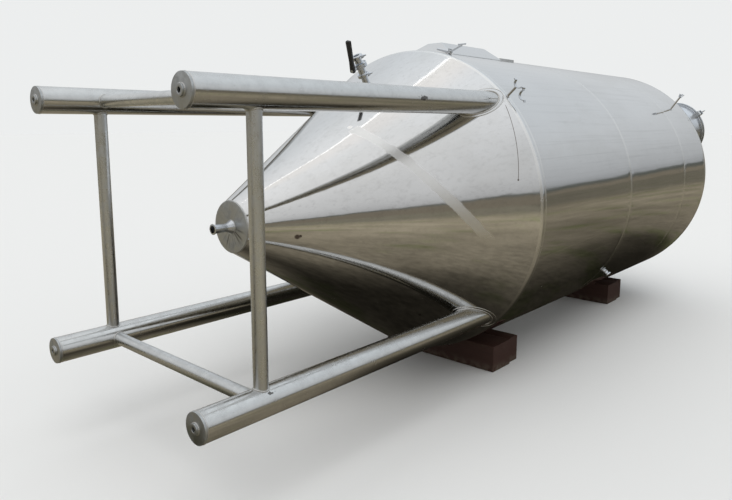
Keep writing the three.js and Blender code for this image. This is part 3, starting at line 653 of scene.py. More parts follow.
def ground_and_painted_shadow(g):
    """Gravel and grass as the steel reflects them, glowing, with a painted shadow of the tank: dark under the
    tank, palest some metres away.
    """
    ahead, side, _ = g.split(g.place())
    # The painted shadow of the tank ends past the cone's tip and past the head's end
    open_ground = g.fade(ahead, -0.9, -2.1)
    beyond = g.most(g.less(ahead, HEAD_END_X), 0.0)
    away = g.math("DIVIDE", g.plus(g.length(side, beyond), open_ground), GROUND_REACH)
    stops = []
    for metres, value in GROUND_AND_SHADOW:
        green, blue = (0.87, 0.64) if metres < FAR_GROUND else (0.9, 0.7)
        stops.append((metres / GROUND_REACH, (value, value * green, value * blue)))
    ground = g.ramp(away, *stops)
    coarse = g.noise(1.1)
    fine = g.noise(14, 6, 0.7)
    grass = g.fade(g.noise(0.8, 5, 0.65), 0.52, 0.64, high=0.7)
    ground = g.mix(grass, ground, (0.62, 0.8, 0.45), "MULTIPLY")
    mottle = g.plus(g.fade(coarse, 0.3, 0.7, 0.7, 1.1), g.fade(fine, 0.3, 0.7, -0.15, 0.5))
    # Glow weaker towards the head end, a painted shadow of the tank reaching further there
    return ground, g.times(mottle, g.fade(ahead, 0.6, 2.4, 1.0, 0.68))


def add_surroundings():
    """World and floor: the steel sees a sky and a glowing ground with a painted shadow of the tank, the
    camera a pale floor and backdrop.
    """
    world = bpy.data.worlds.new("world")
    world.use_nodes = True
    bpy.context.scene.world = world
    g = Graph(world.node_tree)
    lit = g.node("Background", {"Color": sky_colour(g), "Strength": SKY_SCALE}).outputs[0]
    seen = g.node("Background", {"Color": BACKDROP}).outputs[0]
    g.node("OutputWorld", {"Surface": g.by_ray("Is Camera Ray", lit, seen)})

    material, g = new_graph("floor")
    pale = g.node("BsdfDiffuse", {"Color": FLOOR}).outputs[0]
    ground, strength = ground_and_painted_shadow(g)
    # The ground seen in reflections glows, carrying the painted shadow of the tank
    ground = g.node("Emission", {"Color": ground, "Strength": strength}).outputs[0]
    g.node("OutputMaterial", {"Surface": g.by_ray("Is Glossy Ray", pale, ground)})
    bpy.ops.mesh.primitive_grid_add(x_subdivisions=4, y_subdivisions=4, size=240, location=(0, 0, -0.001))
    floor = bpy.context.object
    floor.name = "floor"
    floor.data.materials.append(material)

    sun = bpy.data.lights.new("soft_sun", "SUN")
    sun.energy = 0.7
    sun.angle = radians(40)
    lamp = bpy.data.objects.new("soft_sun", sun)
    lamp.rotation_euler = (radians(25), radians(-20), 0)
    lamp.visible_glossy = False
    bpy.context.scene.collection.objects.link(lamp)


# Frames and outlines
def moved(matrix, x=0.0, y=0.0, z=0.0):
    return matrix @ Matrix.Translation((x, y, z))


def turned(matrix, degrees, axis):
    return matrix @ Matrix.Rotation(radians(degrees), 4, axis)


def angles(count):
    """Evenly spaced angles of a full turn."""
    return [2 * pi * i / count for i in range(count)]


def circle(radius, count, z=0.0):
    """Points of a level circle."""
    return [(radius * cos(a), radius * sin(a), z) for a in angles(count)]


def arc(centre, radius, start, end, steps):
    """Points of an arc from one angle to another."""
    turns = [start + (end - start) * i / steps for i in range(steps + 1)]
    return [(centre[0] + radius * cos(a), centre[1] + radius * sin(a)) for a in turns]


def rounded(outline, radius, steps=3):
    """A closed outline with its corners rounded."""
    points = [Vector(p) for p in outline]
    result = []
    for i, corner in enumerate(points):
        back = points[i - 1] - corner
        ahead = points[(i + 1) % len(points)] - corner
        bend = back.angle(ahead)
        if bend > radians(CORNER_BELOW):
            result.append(tuple(corner))
            continue
        cut = min(radius / tan(bend / 2), MOST_CUT * back.length, MOST_CUT * ahead.length)
        start, end = corner + back.normalized() * cut, corner + ahead.normalized() * cut
        for k in range(steps + 1):
            t = k / steps
            result.append(tuple(start * (1 - t) ** 2 + corner * 2 * t * (1 - t) + end * t**2))
    return result


def oblong(x0, x1, y0, y1, radius, steps=3):
    """The outline of an oblong with rounded corners."""
    return rounded([(x0, y0), (x1, y0), (x1, y1), (x0, y1)], radius, steps)


def mirrored(upper):
    """An outline from its upper half, repeated below zero height."""
    return [(r, -h) for r, h in upper] + upper[::-1]


# Meshes
def piece(name, mesh, matrix, sharp=35):
    """An object from a bmesh, smooth but for its sharp edges."""
    bmesh.ops.remove_doubles(mesh, verts=mesh.verts, dist=1e-6)
    bmesh.ops.recalc_face_normals(mesh, faces=mesh.faces)
    data = bpy.data.meshes.new(name)
    mesh.to_mesh(data)
    mesh.free()
    for face in data.polygons:
        face.use_smooth = True
    data.set_sharp_from_angle(angle=radians(sharp))
    made = bpy.data.objects.new(name, data)
    made.matrix_world = matrix
    bpy.context.scene.collection.objects.link(made)
    return made


def bridge(mesh, one, other):
    """Faces between two rings of vertices."""
    for i in range(len(one)):
        j = (i + 1) % len(one)
        mesh.faces.new((one[i], one[j], other[j], other[i]))


def skinned(rings, ends):
    """A bmesh skinned over rings of points, its two ends joined, capped or left to close themselves."""
    mesh = bmesh.new()
    verts = [[mesh.verts.new(point) for point in ring] for ring in rings]
    for one, other in zip(verts, verts[1:]):
        bridge(mesh, one, other)
    if ends == "joined":
        bridge(mesh, verts[-1], verts[0])
    if ends == "capped":
        mesh.faces.new(verts[0])
        mesh.faces.new(verts[-1])
    return mesh


def lathe(name, outline, matrix, around=96, warp=None):
    """A closed surface of revolution about the local Z axis, from (radius, height) points."""
    rings = []
    for r, h in outline:
        reaches = [(a, r + (warp(h, a) if warp else 0)) for a in angles(around)]
        rings.append([(reach * cos(a), reach * sin(a), h) for a, reach in reaches])
    touches_axis = outline[0][0] == 0 and outline[-1][0] == 0
    return piece(name, skinned(rings, "tapered" if touches_axis else "joined"), matrix)


def sweep(name, path, radius, matrix, closed=False, ripple=0.0, pitch=0.006):
    """A round bar along a path, or closed on itself, and rippled like a weld bead."""
    points = [Vector(p) for p in path]
    count = len(points)
    rings = []
    travelled = 0.0
    side = None
    for i, point in enumerate(points):
        before = points[i - 1] if closed or i else point
        after = points[(i + 1) % count] if closed or i < count - 1 else point
        ahead = (after - before).normalized()
        if side is None:
            side = ahead.orthogonal().normalized()
        side = (side - ahead * side.dot(ahead)).normalized()
        up = ahead.cross(side)
        if i:
            travelled += (point - points[i - 1]).length
        wide = radius * (1 + ripple * sin(2 * pi * travelled / pitch))
        rings.append([point + (side * cos(a) + up * sin(a)) * wide for a in angles(BEAD_SIDES)])
    return piece(name, skinned(rings, "joined" if closed else "capped"), matrix, sharp=50)


def soften(made, width, segments=2):
    bevel = made.modifiers.new("bevel", "BEVEL")
    bevel.width = width
    bevel.segments = segments
    bevel.limit_method = "ANGLE"
    bevel.angle_limit = radians(30)
    bevel.harden_normals = True


def prism(name, outline, depth, matrix, bevel, segments=2):
    """A plate of even thickness in the local XY plane, its edges rounded."""
    mesh = bmesh.new()
    low, high = [[mesh.verts.new((x, y, z)) for x, y in outline] for z in (-depth / 2, depth / 2)]
    mesh.faces.new(low)
    mesh.faces.new(high)
    bridge(mesh, low, high)
    made = piece(name, mesh, matrix)
    soften(made, bevel, segments)
    return made


def settle(made):
    """Puts a piece's place into its mesh, so that its box is its real extent."""
    made.data.transform(made.matrix_world)
    made.matrix_world = Matrix.Identity(4)
    return made


def block(name, low, high, matrix):
    """A bevelled bar between two corners."""
    low, high = Vector(low), Vector(high)
    half, centre = (high - low) / 2, (low + high) / 2
    corners = [(-half.x, -half.y), (half.x, -half.y), (half.x, half.y), (-half.x, half.y)]
    return prism(name, corners, 2 * half.z, moved(matrix, *centre), BROAD_EDGE)


def bar(name, start, end, radius, matrix, chamfer=0.0012):
    """A round bar between two points, its ends chamfered."""
    start, end = Vector(start), Vector(end)
    length = (end - start).length
    aim = (end - start).to_track_quat("Z", "X").to_matrix().to_4x4()
    outline = [(0, 0), (radius - chamfer, 0), (radius, chamfer), (radius, length - chamfer),
               (radius - chamfer, length), (0, length)]
    return lathe(name, outline, moved(matrix, *start) @ aim, BAR_SIDES)


def hexagon(name, radius, height, matrix):
    corners = [(x, y) for x, y, _ in circle(radius, 6)]
    return prism(name, corners, height, moved(matrix, z=height / 2), FINE_EDGE)


def dress(made, slot="bright_steel", body="tank", stands_for=(), look=None):
    """Gives a piece its material, its body, and the solids that it stands for."""
    made.data.materials.clear()
    made.data.materials.append(MATERIALS[look or slot])
    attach(made, body)
    if stands_for:
        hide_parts(*stands_for)
    return made


def stand_in(made, node, body="tank", look=None):
    """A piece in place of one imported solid, with that solid's own material slot."""
    return dress(made, SLOTS[node], body, (node,), look)


def bead(name, path, radius, matrix, slot="tube_steel", closed=True, ripple=0.12, pitch=0.005):
    """A rippled weld bead along a path."""
    dress(sweep(name, path, radius, matrix, closed, ripple, pitch), slot, look="weld_steel")


# Shell
def weld_pull(x):
    """How far the shell is drawn in beside its seams, and stands proud at their beads."""
    offset = 0.0
    for seam in SEAMS:
        reach = abs(x - seam) / WELD_REACH
        if reach < 1:
            offset -= WELD_PULL * (0.5 + 0.5 * cos(pi * reach))
        across_bead = abs(x - seam) / BEAD_HALF
        if across_bead < 1:
            offset += BEAD_RISE * (1 - across_bead**2)
    return offset


def warp(h, angle):
    """Slight unevenness of the rolled sheet."""
    place = Vector((h * 2.1, 1.7 * cos(angle), 1.7 * sin(angle)))
    return WARP * noise.noise(place) + 0.4 * WARP * noise.noise(place * 2.7)


def stations(start, end):
    """Places along a course, close together beside its seams."""
    found = {start, end}
    count = round((end - start) / COARSE_STEP)
    found.update(start + (end - start) * i / count for i in range(count))
    for seam in SEAMS:
        found.update(seam + sign * step for step in SEAM_STEPS for sign in (-1, 1))
    inside = sorted(x for x in found if start <= x <= end)
    kept = [inside[0]]
    for x in inside[1:]:
        if x - kept[-1] > LEAST_STEP:
            kept.append(x)
    kept[-1] = end
    return kept


def add_shell():
    """Cone and courses, as closed shells of revolution."""
    knuckle = arc((RADIUS - KNUCKLE_RADIUS, CONE_END_X), KNUCKLE_RADIUS, -cone_angle, 0, KNUCKLE_STEPS)
    inset = WALL / cos(cone_angle)
    end_radius, end_x = knuckle[0]
    shares = [i / CONE_STEPS for i in range(CONE_STEPS)]
    slope = [(CONE_END_RADIUS + (end_radius - CONE_END_RADIUS) * share, end_x * share) for share in shares]
    inside = [(RADIUS - inset, CONE_END_X), (CONE_END_RADIUS - inset, 0.0)]
    cone = lathe("cone", slope + knuckle + inside, ALONG, AROUND, warp)
    dress(cone, "shell_steel", stands_for=("cone_shell_tip", "cone_shell_narrow", "cone_shell_wide"))
    for name, start, end, _ in COURSES:
        outside = [(RADIUS + weld_pull(x), x) for x in stations(start, end)]
        inside = [(RADIUS - WALL, end), (RADIUS - WALL, start)]
        course = lathe(f"course_{name}", outside + inside, ALONG, AROUND, warp)
        stand_in(course, f"shell_course_{name}")


crown_reach = CROWN_RADIUS - HEAD_KNUCKLE_RADIUS
rim_reach = RADIUS - HEAD_KNUCKLE_RADIUS
head_turn = asin(rim_reach / crown_reach)
crown_centre_x = HEAD_X - crown_reach * cos(head_turn)

# Manway frame: local X to the tank's rim and Z out of the head
tilt = asin(MANWAY_OFFSET / (CROWN_RADIUS + SKIN))
across = Vector((0, -sin(MANWAY_TURN), cos(MANWAY_TURN)))
manway_z = Vector((cos(tilt), 0, 0)) + across * sin(tilt)
manway_x = Vector((-sin(tilt), 0, 0)) + across * cos(tilt)
manway_axes = Matrix((manway_x, manway_z.cross(manway_x), manway_z)).transposed().to_4x4()
manway_seat = Vector((crown_centre_x, 0, 0)) + manway_z * (CROWN_RADIUS + SKIN + COLLAR_HEIGHT)
MANWAY_IN_TANK = Matrix.Translation(manway_seat) @ manway_axes
MANWAY = TANK @ MANWAY_IN_TANK
HINGE = moved(MANWAY, -HINGE_REACH, 0, HINGE_HEIGHT) @ CROSSWISE


def head_outline(inset, crown_steps):
    radius, end = HEAD_KNUCKLE_RADIUS - inset, pi / 2 - head_turn
    points = arc((rim_reach, HEAD_X), radius, 0, end, HEAD_KNUCKLE_STEPS)
    reach = CROWN_RADIUS - inset
    for i in range(1, crown_steps + 1):
        angle = head_turn * (1 - i / crown_steps)
        points.append((max(0, reach * sin(angle)), crown_centre_x + reach * cos(angle)))
    return points


def head_normal(point):
    """The outward direction of the head's smooth surface at a local point."""
    flat = Vector((point.x, point.y, 0))
    if atan2(flat.length, point.z - crown_centre_x) < head_turn:
        return (point - Vector((0, 0, crown_centre_x))).normalized()
    if point.z > HEAD_X:
        return (point - Vector((0, 0, HEAD_X)) - flat.normalized() * rim_reach).normalized()
    return flat.normalized()


def head_gap(point):
    """How far a point of the tank's frame lies outside the head."""
    reach = hypot(point.y, point.z)
    ahead = point.x - crown_centre_x
    if atan2(reach, ahead) < head_turn:
        return hypot(reach, ahead) - CROWN_RADIUS
    return hypot(max(point.x - HEAD_X, 0), reach - rim_reach) - HEAD_KNUCKLE_RADIUS


def add_head():
    """The head with the manway's hole cut in it, its smooth shading kept."""
    outline = head_outline(0, HEAD_STEPS) + head_outline(WALL, HEAD_INSIDE_STEPS)[::-1]
    head = lathe("head", outline, ALONG, HEAD_SIDES)
    hole = lathe("hole", [(0, 0), (COLLAR_RADIUS, 0), (COLLAR_RADIUS, -HOLE_DEPTH), (0, -HOLE_DEPTH)], MANWAY)
    cut = head.modifiers.new("hole", "BOOLEAN")
    cut.object = hole
    cut.operation = "DIFFERENCE"
    cut.solver = "EXACT"
    bpy.context.view_layer.update()
    graph = bpy.context.evaluated_depsgraph_get()
    data = bpy.data.meshes.new_from_object(head.evaluated_get(graph))
    head.modifiers.clear()
    head.data = data
    bpy.data.objects.remove(hole)
    normals = []
    for face in data.polygons:
        for corner in face.vertices:
            exact = head_normal(data.vertices[corner].co)
            facing = face.normal.dot(exact)
            if abs(facing) > SMOOTH_FACING:
                normals.append(exact if facing > 0 else -exact)
            else:
                normals.append(face.normal)
    data.normals_split_custom_set(normals)
    stand_in(head, "top_head")


# Frame
def root_point(y, z, angle, reach, proud=0.0):
    """A point of the cone, or a little proud of it, at an angle and a distance round a leg's axis."""
    py, pz = y + reach * cos(angle), z + reach * sin(angle)
    rise = hypot(py, pz) - CONE_END_RADIUS - proud / cos(cone_angle)
    return Vector((rise / tan(cone_angle), py, pz))


def add_leg(name, y, z):
    """A coped leg, its pad on the cone, its foot and its welds."""
    turns = angles(LEG_SIDES)
    start = FOOT_FACE_X + FOOT_PLATE
    rings = []
    for radius, shares in ((LEG_RADIUS, (0, 0.25, 0.5, 0.75, 1)), (LEG_RADIUS - LEG_WALL, (1, 0))):
        roots = [root_point(y, z, a, radius) for a in turns]
        rings += [[(start + (root.x - start) * share, root.y, root.z) for root in roots] for share in shares]
    stand_in(piece(f"leg_tube_{name}", skinned(rings, "joined"), TANK), f"leg_{name}")

    edge = LEG_RADIUS + PAD_MARGIN
    profile = [(LEG_RADIUS, -0.001), (LEG_RADIUS, PAD_THICKNESS), (edge - 0.002, PAD_THICKNESS),
               (edge - 0.0005, PAD_THICKNESS - 0.0008), (edge, -0.001)]
    rings = [[root_point(y, z, a, reach, proud) for a in turns] for reach, proud in profile]
    stand_in(piece(f"pad_{name}", skinned(rings, "joined"), TANK), f"leg_pad_{name}", look="sheet_steel")
    for label, reach, proud, thick in LEG_WELDS:
        path = [root_point(y, z, a, LEG_RADIUS + reach, proud) for a in angles(LEG_BEAD_STEPS)]
        bead(f"leg_weld_{label}_{name}", path, thick, TANK, ripple=0.1, pitch=0.006)

    foot_frame = moved(ALONG, -z, y)
    boss_face = FOOT_FACE_X - BOSS_HEIGHT
    outline = rounded([
        (FOOT_HOLE_RADIUS, boss_face), (BOSS_RADIUS, boss_face), (BOSS_RADIUS, FOOT_FACE_X),
        (LEG_RADIUS, FOOT_FACE_X), (LEG_RADIUS, start), (FOOT_HOLE_RADIUS, start),
    ], EDGE)
    stand_in(lathe(f"foot_{name}", outline, foot_frame), f"foot_plate_{name}")
    for label, reach, at in (("edge", LEG_RADIUS - 0.0012, start), ("boss", BOSS_RADIUS, FOOT_FACE_X)):
        path = circle(reach, LEG_BEAD_STEPS // 2, at)
        bead(f"foot_weld_{label}_{name}", path, FOOT_BEAD, foot_frame, "plate_steel", pitch=0.006)


def add_brace(name, direction, y, z):
    """A tube between two legs, coped to them."""
    def place(radius, angle, end, leg_radius):
        dx, side = radius * cos(angle), radius * sin(angle)
        along = end * (LEG_OFFSET - sqrt(leg_radius**2 - side**2))
        return (BRACE_X + dx, along, z + side) if direction == "y" else (BRACE_X + dx, y + side, along)

    rings = []
    for radius, shares in ((BRACE_RADIUS, (-1, -0.5, 0, 0.5, 1)), (BRACE_RADIUS - BRACE_WALL, (1, -1))):
        rings += [[place(radius, a, share, LEG_RADIUS) for a in angles(BRACE_SIDES)] for share in shares]
    tube = piece(f"brace_tube_{name}", skinned(rings, "joined"), TANK)
    stand_in(tube, f"brace_{name}", look="brace_steel")
    for end, label in SIDES:
        path = [place(BRACE_RADIUS + 0.001, a, end, LEG_RADIUS + 0.001) for a in angles(BRACE_BEAD_STEPS)]
        bead(f"brace_weld_{name}_{label}", path, BRACE_BEAD, TANK, ripple=0.1, pitch=0.006)


def add_frame():
    rows = (("upper", LEG_OFFSET), ("lower", -LEG_OFFSET))
    columns = (("near", -LEG_OFFSET), ("far", LEG_OFFSET))
    for row, z in rows:
        for column, y in columns:
            add_leg(f"{row}_{column}", y, z)
    for row, z in rows:
        add_brace(row, "y", 0, z)
    for column, y in columns:
        add_brace(column, "z", y, 0)


def add_outlet():
    """The cone's end plate and its nozzle with a ferrule."""
    plate = oblong(TUBE_RADIUS + 0.003, CONE_END_RADIUS, -END_PLATE, 0, 0.0025)
    stand_in(lathe("end_plate", plate, ALONG, HEAD_SIDES), "cone_end_plate", look="end_steel")
    path = circle(CONE_END_RADIUS, 480, -0.0005)
    bead("end_plate_weld", path, END_PLATE_BEAD, ALONG, "plate_steel", ripple=0.1, pitch=0.006)
    ferrule = rounded([
        (FERRULE_RADIUS, -OUTLET_LENGTH), (FERRULE_RADIUS, -OUTLET_LENGTH + FERRULE_RIM),
        (TUBE_RADIUS, -OUTLET_LENGTH + FERRULE_LENGTH),
    ], FINE_EDGE)
    nozzle = [
        (TUBE_BORE, -OUTLET_LENGTH), *ferrule, (TUBE_RADIUS, -0.044), *FLARE, (FLARE_RADIUS, -END_PLATE),
        (TUBE_RADIUS, -END_PLATE), (TUBE_RADIUS, OUTLET_INSIDE), (TUBE_BORE, OUTLET_INSIDE),
    ]
    stand_in(lathe("outlet", nozzle, ALONG), "outlet_nozzle")
    path = circle(FLARE_RADIUS, 180, -END_PLATE)
    bead("outlet_weld", path, OUTLET_BEAD, ALONG, "plate_steel", pitch=0.004)


# Cover and lug on the ridge
def add_cover():
    """Raised cover: a block with sloping sides that sinks into the shell."""
    half_y = COVER_WIDTH / 2
    top_x, top_y = COVER_TOP[0] / 2, COVER_TOP[1] / 2
    share = COVER_SIDE_DROP / (COVER_HEIGHT + COVER_SIDE_DROP)
    levels = [
        (*COVER_ENDS, half_y, -COVER_SINK),
        (*COVER_ENDS, half_y, -COVER_SIDE_DROP),
        (*COVER_ENDS, half_y + (top_y - half_y) * share, 0),
        (-top_x, top_x, top_y, COVER_HEIGHT - SKIN),
    ]
    rings = [[(x0, -y, z), (x1, -y, z), (x1, y, z), (x0, y, z)] for x0, x1, y, z in levels]
    cover = piece("cover", skinned(rings, "capped"), moved(TANK, COVER_X, 0, RADIUS + SKIN))
    soften(cover, 0.008, 3)
    stand_in(cover, "raised_cover", look="sheet_steel")
    path = []
    corners = rings[0]
    for (x0, y0, _), (x1, y1, _) in zip(corners, corners[1:] + corners[:1]):
        for k in range(COVER_BEAD_STEPS):
            x, y = x0 + (x1 - x0) * k / COVER_BEAD_STEPS, y0 + (y1 - y0) * k / COVER_BEAD_STEPS
            path.append((COVER_X + x, y, sqrt((RADIUS + 0.0005) ** 2 - y * y)))
    made = sweep("cover_weld", path, COVER_BEAD, TANK, closed=True, ripple=0.06)
    dress(made, "shell_steel", look="sheet_steel")

    low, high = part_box("ridge_lug")
    lug = block("ridge_bar", (low.x, low.y, low.z - LUG_SINK), high, Matrix.Identity(4))
    stand_in(lug, "ridge_lug")


# Manway
def wing_nut(name, hub_radius, hub, tip, top, thickness, matrix, body="tank"):
    """Hub and two raised wings, standing on the local XY plane."""
    outline = [(0, 0), (hub_radius, 0), (hub_radius, hub * 0.5), (hub_radius * 0.75, hub), (0, hub)]
    dress(lathe(f"{name}_hub", outline, matrix, 40), body=body)
    root = hub_radius * 0.6
    outline = [(root, hub * 0.1), (tip * 0.75, top * 0.3), (tip, top * 0.62), (tip * 0.97, top),
               (tip * 0.62, top * 0.92), (root, hub * 0.95)]
    for side, label in ((1, "a"), (-1, "b")):
        wing = rounded([(side * x, y) for x, y in outline], thickness)
        made = prism(f"{name}_wing_{label}", wing, thickness, turned(matrix, 90, "X"), thickness * 0.35, 3)
        dress(made, body=body)


def add_manway():
    """Collar, gasket, lid, hinge and clamp."""
    inner, foot = COLLAR_RADIUS - COLLAR_WALL, -COLLAR_HEIGHT - WALL - COLLAR_SINK
    collar = rounded([
        (inner, foot), (COLLAR_RADIUS, foot), (COLLAR_RADIUS, -COLLAR_RIM),
        (COLLAR_RIM_RADIUS, -COLLAR_RIM), (COLLAR_RIM_RADIUS, 0), (inner, 0),
    ], EDGE)
    stand_in(lathe("collar", collar, MANWAY, MANWAY_SIDES), "manway_collar")
    joint = []
    for x, y, _ in circle(COLLAR_RADIUS, 360):
        low, high = -JOINT_DEPTH, 0.0
        for _ in range(JOINT_HALVINGS):
            middle = (low + high) / 2
            outside = head_gap(MANWAY_IN_TANK @ Vector((x, y, middle))) > 0
            low, high = (low, middle) if outside else (middle, high)
        joint.append((x, y, low))
    bead("collar_weld", joint, COLLAR_BEAD, MANWAY)
    gasket = oblong(inner, COLLAR_RIM_RADIUS - 0.002, 0.0001, GASKET, 0.0018)
    stand_in(lathe("gasket", gasket, MANWAY, MANWAY_SIDES), "manway_gasket")
    add_lid()
    add_hinge()
    add_clamp()


def add_lid():
    """The dished lid with its hinge arm and eye, and the forked ear under the clamp's nut."""
    shares = [i / LID_STEPS for i in range(LID_STEPS + 1)]
    dish = [(LID_DISH_RADIUS * share, LID_RISE * (1 - share**2)) for share in shares]
    half = LID_PLATE / 2
    outline = [(r, LID_TOP + h) for r, h in dish]
    outline += arc((LID_RADIUS - half, LID_BASE + half), half, pi / 2, -pi / 2, ARC_STEPS)
    outline += [(r, LID_BASE + h) for r, h in dish[::-1]]
    stand_in(lathe("lid", outline, MANWAY, MANWAY_SIDES), "manway_lid", "manway_door")
    low = (-HINGE_REACH, -ARM_HALF, LID_BASE + 0.002)
    high = (-LID_DISH_RADIUS - LID_PLATE, ARM_HALF, LID_TOP + LID_PLATE)
    dress(block("lid_arm", low, high, MANWAY), body="manway_door")
    eye = oblong(PIN_RADIUS + 0.0005, EYE_RADIUS, -ARM_HALF, ARM_HALF, EDGE)
    dress(settle(lathe("lid_eye", eye, HINGE, 48)), body="manway_door")
    start, end = LID_DISH_RADIUS + LID_PLATE, CLAMP_END
    fork = [(start, -CLAMP_HALF), (end, -CLAMP_HALF), (end, -FORK_SLOT)]
    fork += arc((CLAMP_REACH, 0), FORK_SLOT, -pi / 2, -1.5 * pi, ARC_STEPS)
    fork += [(end, FORK_SLOT), (end, CLAMP_HALF), (start, CLAMP_HALF)]
    depth = EAR_TOP - LID_BASE - 0.001
    ear = prism("lid_ear", fork, depth, moved(MANWAY, z=LID_BASE + 0.001 + depth / 2), EDGE)
    dress(ear, body="manway_door")


def add_hinge():
    back, front = -HINGE_REACH - CHEEK_ROUND, -LID_RADIUS - 0.006
    foot = block("hinge_foot", (back, -BRACKET_HALF, -0.06), (HINGE_FOOT_X, BRACKET_HALF, -0.02), MANWAY)
    stand_in(foot, "manway_hinge_bracket")
    outline = [(back, -0.03), (front, -0.03), (front, HINGE_HEIGHT - 0.01)]
    outline += arc((-HINGE_REACH, HINGE_HEIGHT), CHEEK_ROUND, 0, pi, ARC_STEPS)
    for side, label in SIDES:
        upright = turned(moved(MANWAY, 0, side * (BRACKET_HALF - CHEEK / 2)), 90, "X")
        dress(settle(prism(f"hinge_cheek_{label}", outline, CHEEK, upright, EDGE)), "tube_steel")
    pin = mirrored([(0, PIN_HALF), (PIN_RADIUS - 0.0015, PIN_HALF), (PIN_RADIUS, PIN_HALF - 0.0015)])
    stand_in(lathe("hinge_pin", pin, HINGE, 48), "manway_hinge_pin")
    for side, label in SIDES:
        path = [(HINGE_FOOT_X, side * BRACKET_HALF, z) for z in (-0.058, -0.05, -0.04, -0.03, -0.022)]
        bead(f"hinge_weld_{label}", path, HINGE_BEAD, MANWAY, closed=False)


def add_clamp():
    """The lug on the collar, and the screw, washer and wing nut that ride on the lid."""
    lug = block("clamp_lug", (0.2232, -CLAMP_HALF, -0.034), (CLAMP_END, CLAMP_HALF, -0.0103), MANWAY)
    stand_in(lug, "manway_clamp_lug")
    for side, label in SIDES:
        path = [(0.2245, side * CLAMP_HALF, -0.033 + 0.004 * k) for k in range(6)]
        bead(f"clamp_weld_{label}", path, CLAMP_BEAD, MANWAY, closed=False)
    at = moved(MANWAY, CLAMP_REACH)
    seat = EAR_TOP + 0.0003
    high = seat + 0.0295
    end_radius = SCREW_RADIUS - 0.001
    shank = [(0, SCREW_LOW - 0.001), (end_radius, SCREW_LOW - 0.001), (SCREW_RADIUS, SCREW_LOW)]
    z = SCREW_LOW
    while z < high - 0.004:
        shank += [(SCREW_RADIUS, z), (SCREW_RADIUS - THREAD_DEPTH, z + THREAD_PITCH / 2)]
        z += THREAD_PITCH
    shank += [(end_radius, high), (0, high)]
    stand_in(lathe("clamp_screw", shank, at, 40), "manway_clamp_screw", "manway_door")
    outline = oblong(0.0063, 0.0165, seat, seat + WASHER, FINE_EDGE)
    dress(lathe("clamp_washer", outline, at, 48), body="manway_door")
    wing_nut("clamp_nut", 0.013, 0.018, 0.033, 0.028, 0.008, moved(at, z=seat + WASHER), "manway_door")


# Racking port
port_radius = CONE_END_RADIUS + SKIN + PORT_X * tan(cone_angle)
RACKING = moved(TANK, PORT_X, 0, port_radius) @ Matrix.Rotation(-cone_angle, 4, "Y")
AT_VALVE = moved(RACKING, z=VALVE_HEIGHT)


def clamp_ring(name, z, inner, outer, node=None):
    """A clamp about a joint between ferrules: ring, lugs, hinge, bolt and wing nut on the near side."""
    upper = [(inner, RING_HALF - 0.0015), (outer - 0.003, RING_HALF), (outer, RING_HALF - 0.002)]
    outline = rounded([(r, z + h) for r, h in mirrored(upper)], 0.001)
    ring = lathe(f"{name}_ring", outline, RACKING, 72)
    if node:
        stand_in(ring, node)
    else:
        dress(ring)
    at = moved(RACKING, z=z)
    for side, label in SIDES:
        lug = oblong(side * 0.001, side * 0.008, -outer - 0.012, -outer + 0.003, EDGE)
        dress(prism(f"{name}_lug_{label}", lug, 0.013, at, FINE_EDGE))
    bolt_y, hinge_y = -outer - 0.006, outer + 0.001
    dress(bar(f"{name}_bolt", (-0.024, bolt_y, 0), (0.0295, bolt_y, 0), 0.0035, at))
    dress(bar(f"{name}_hinge", (0, hinge_y, -0.0075), (0, hinge_y, 0.0075), 0.0045, at))
    nut_frame = turned(moved(at, 0.0095, bolt_y) @ LENGTHWISE, 90, "Z")
    wing_nut(f"{name}_nut", 0.0065, 0.011, 0.0135, 0.0135, 0.0055, nut_frame)


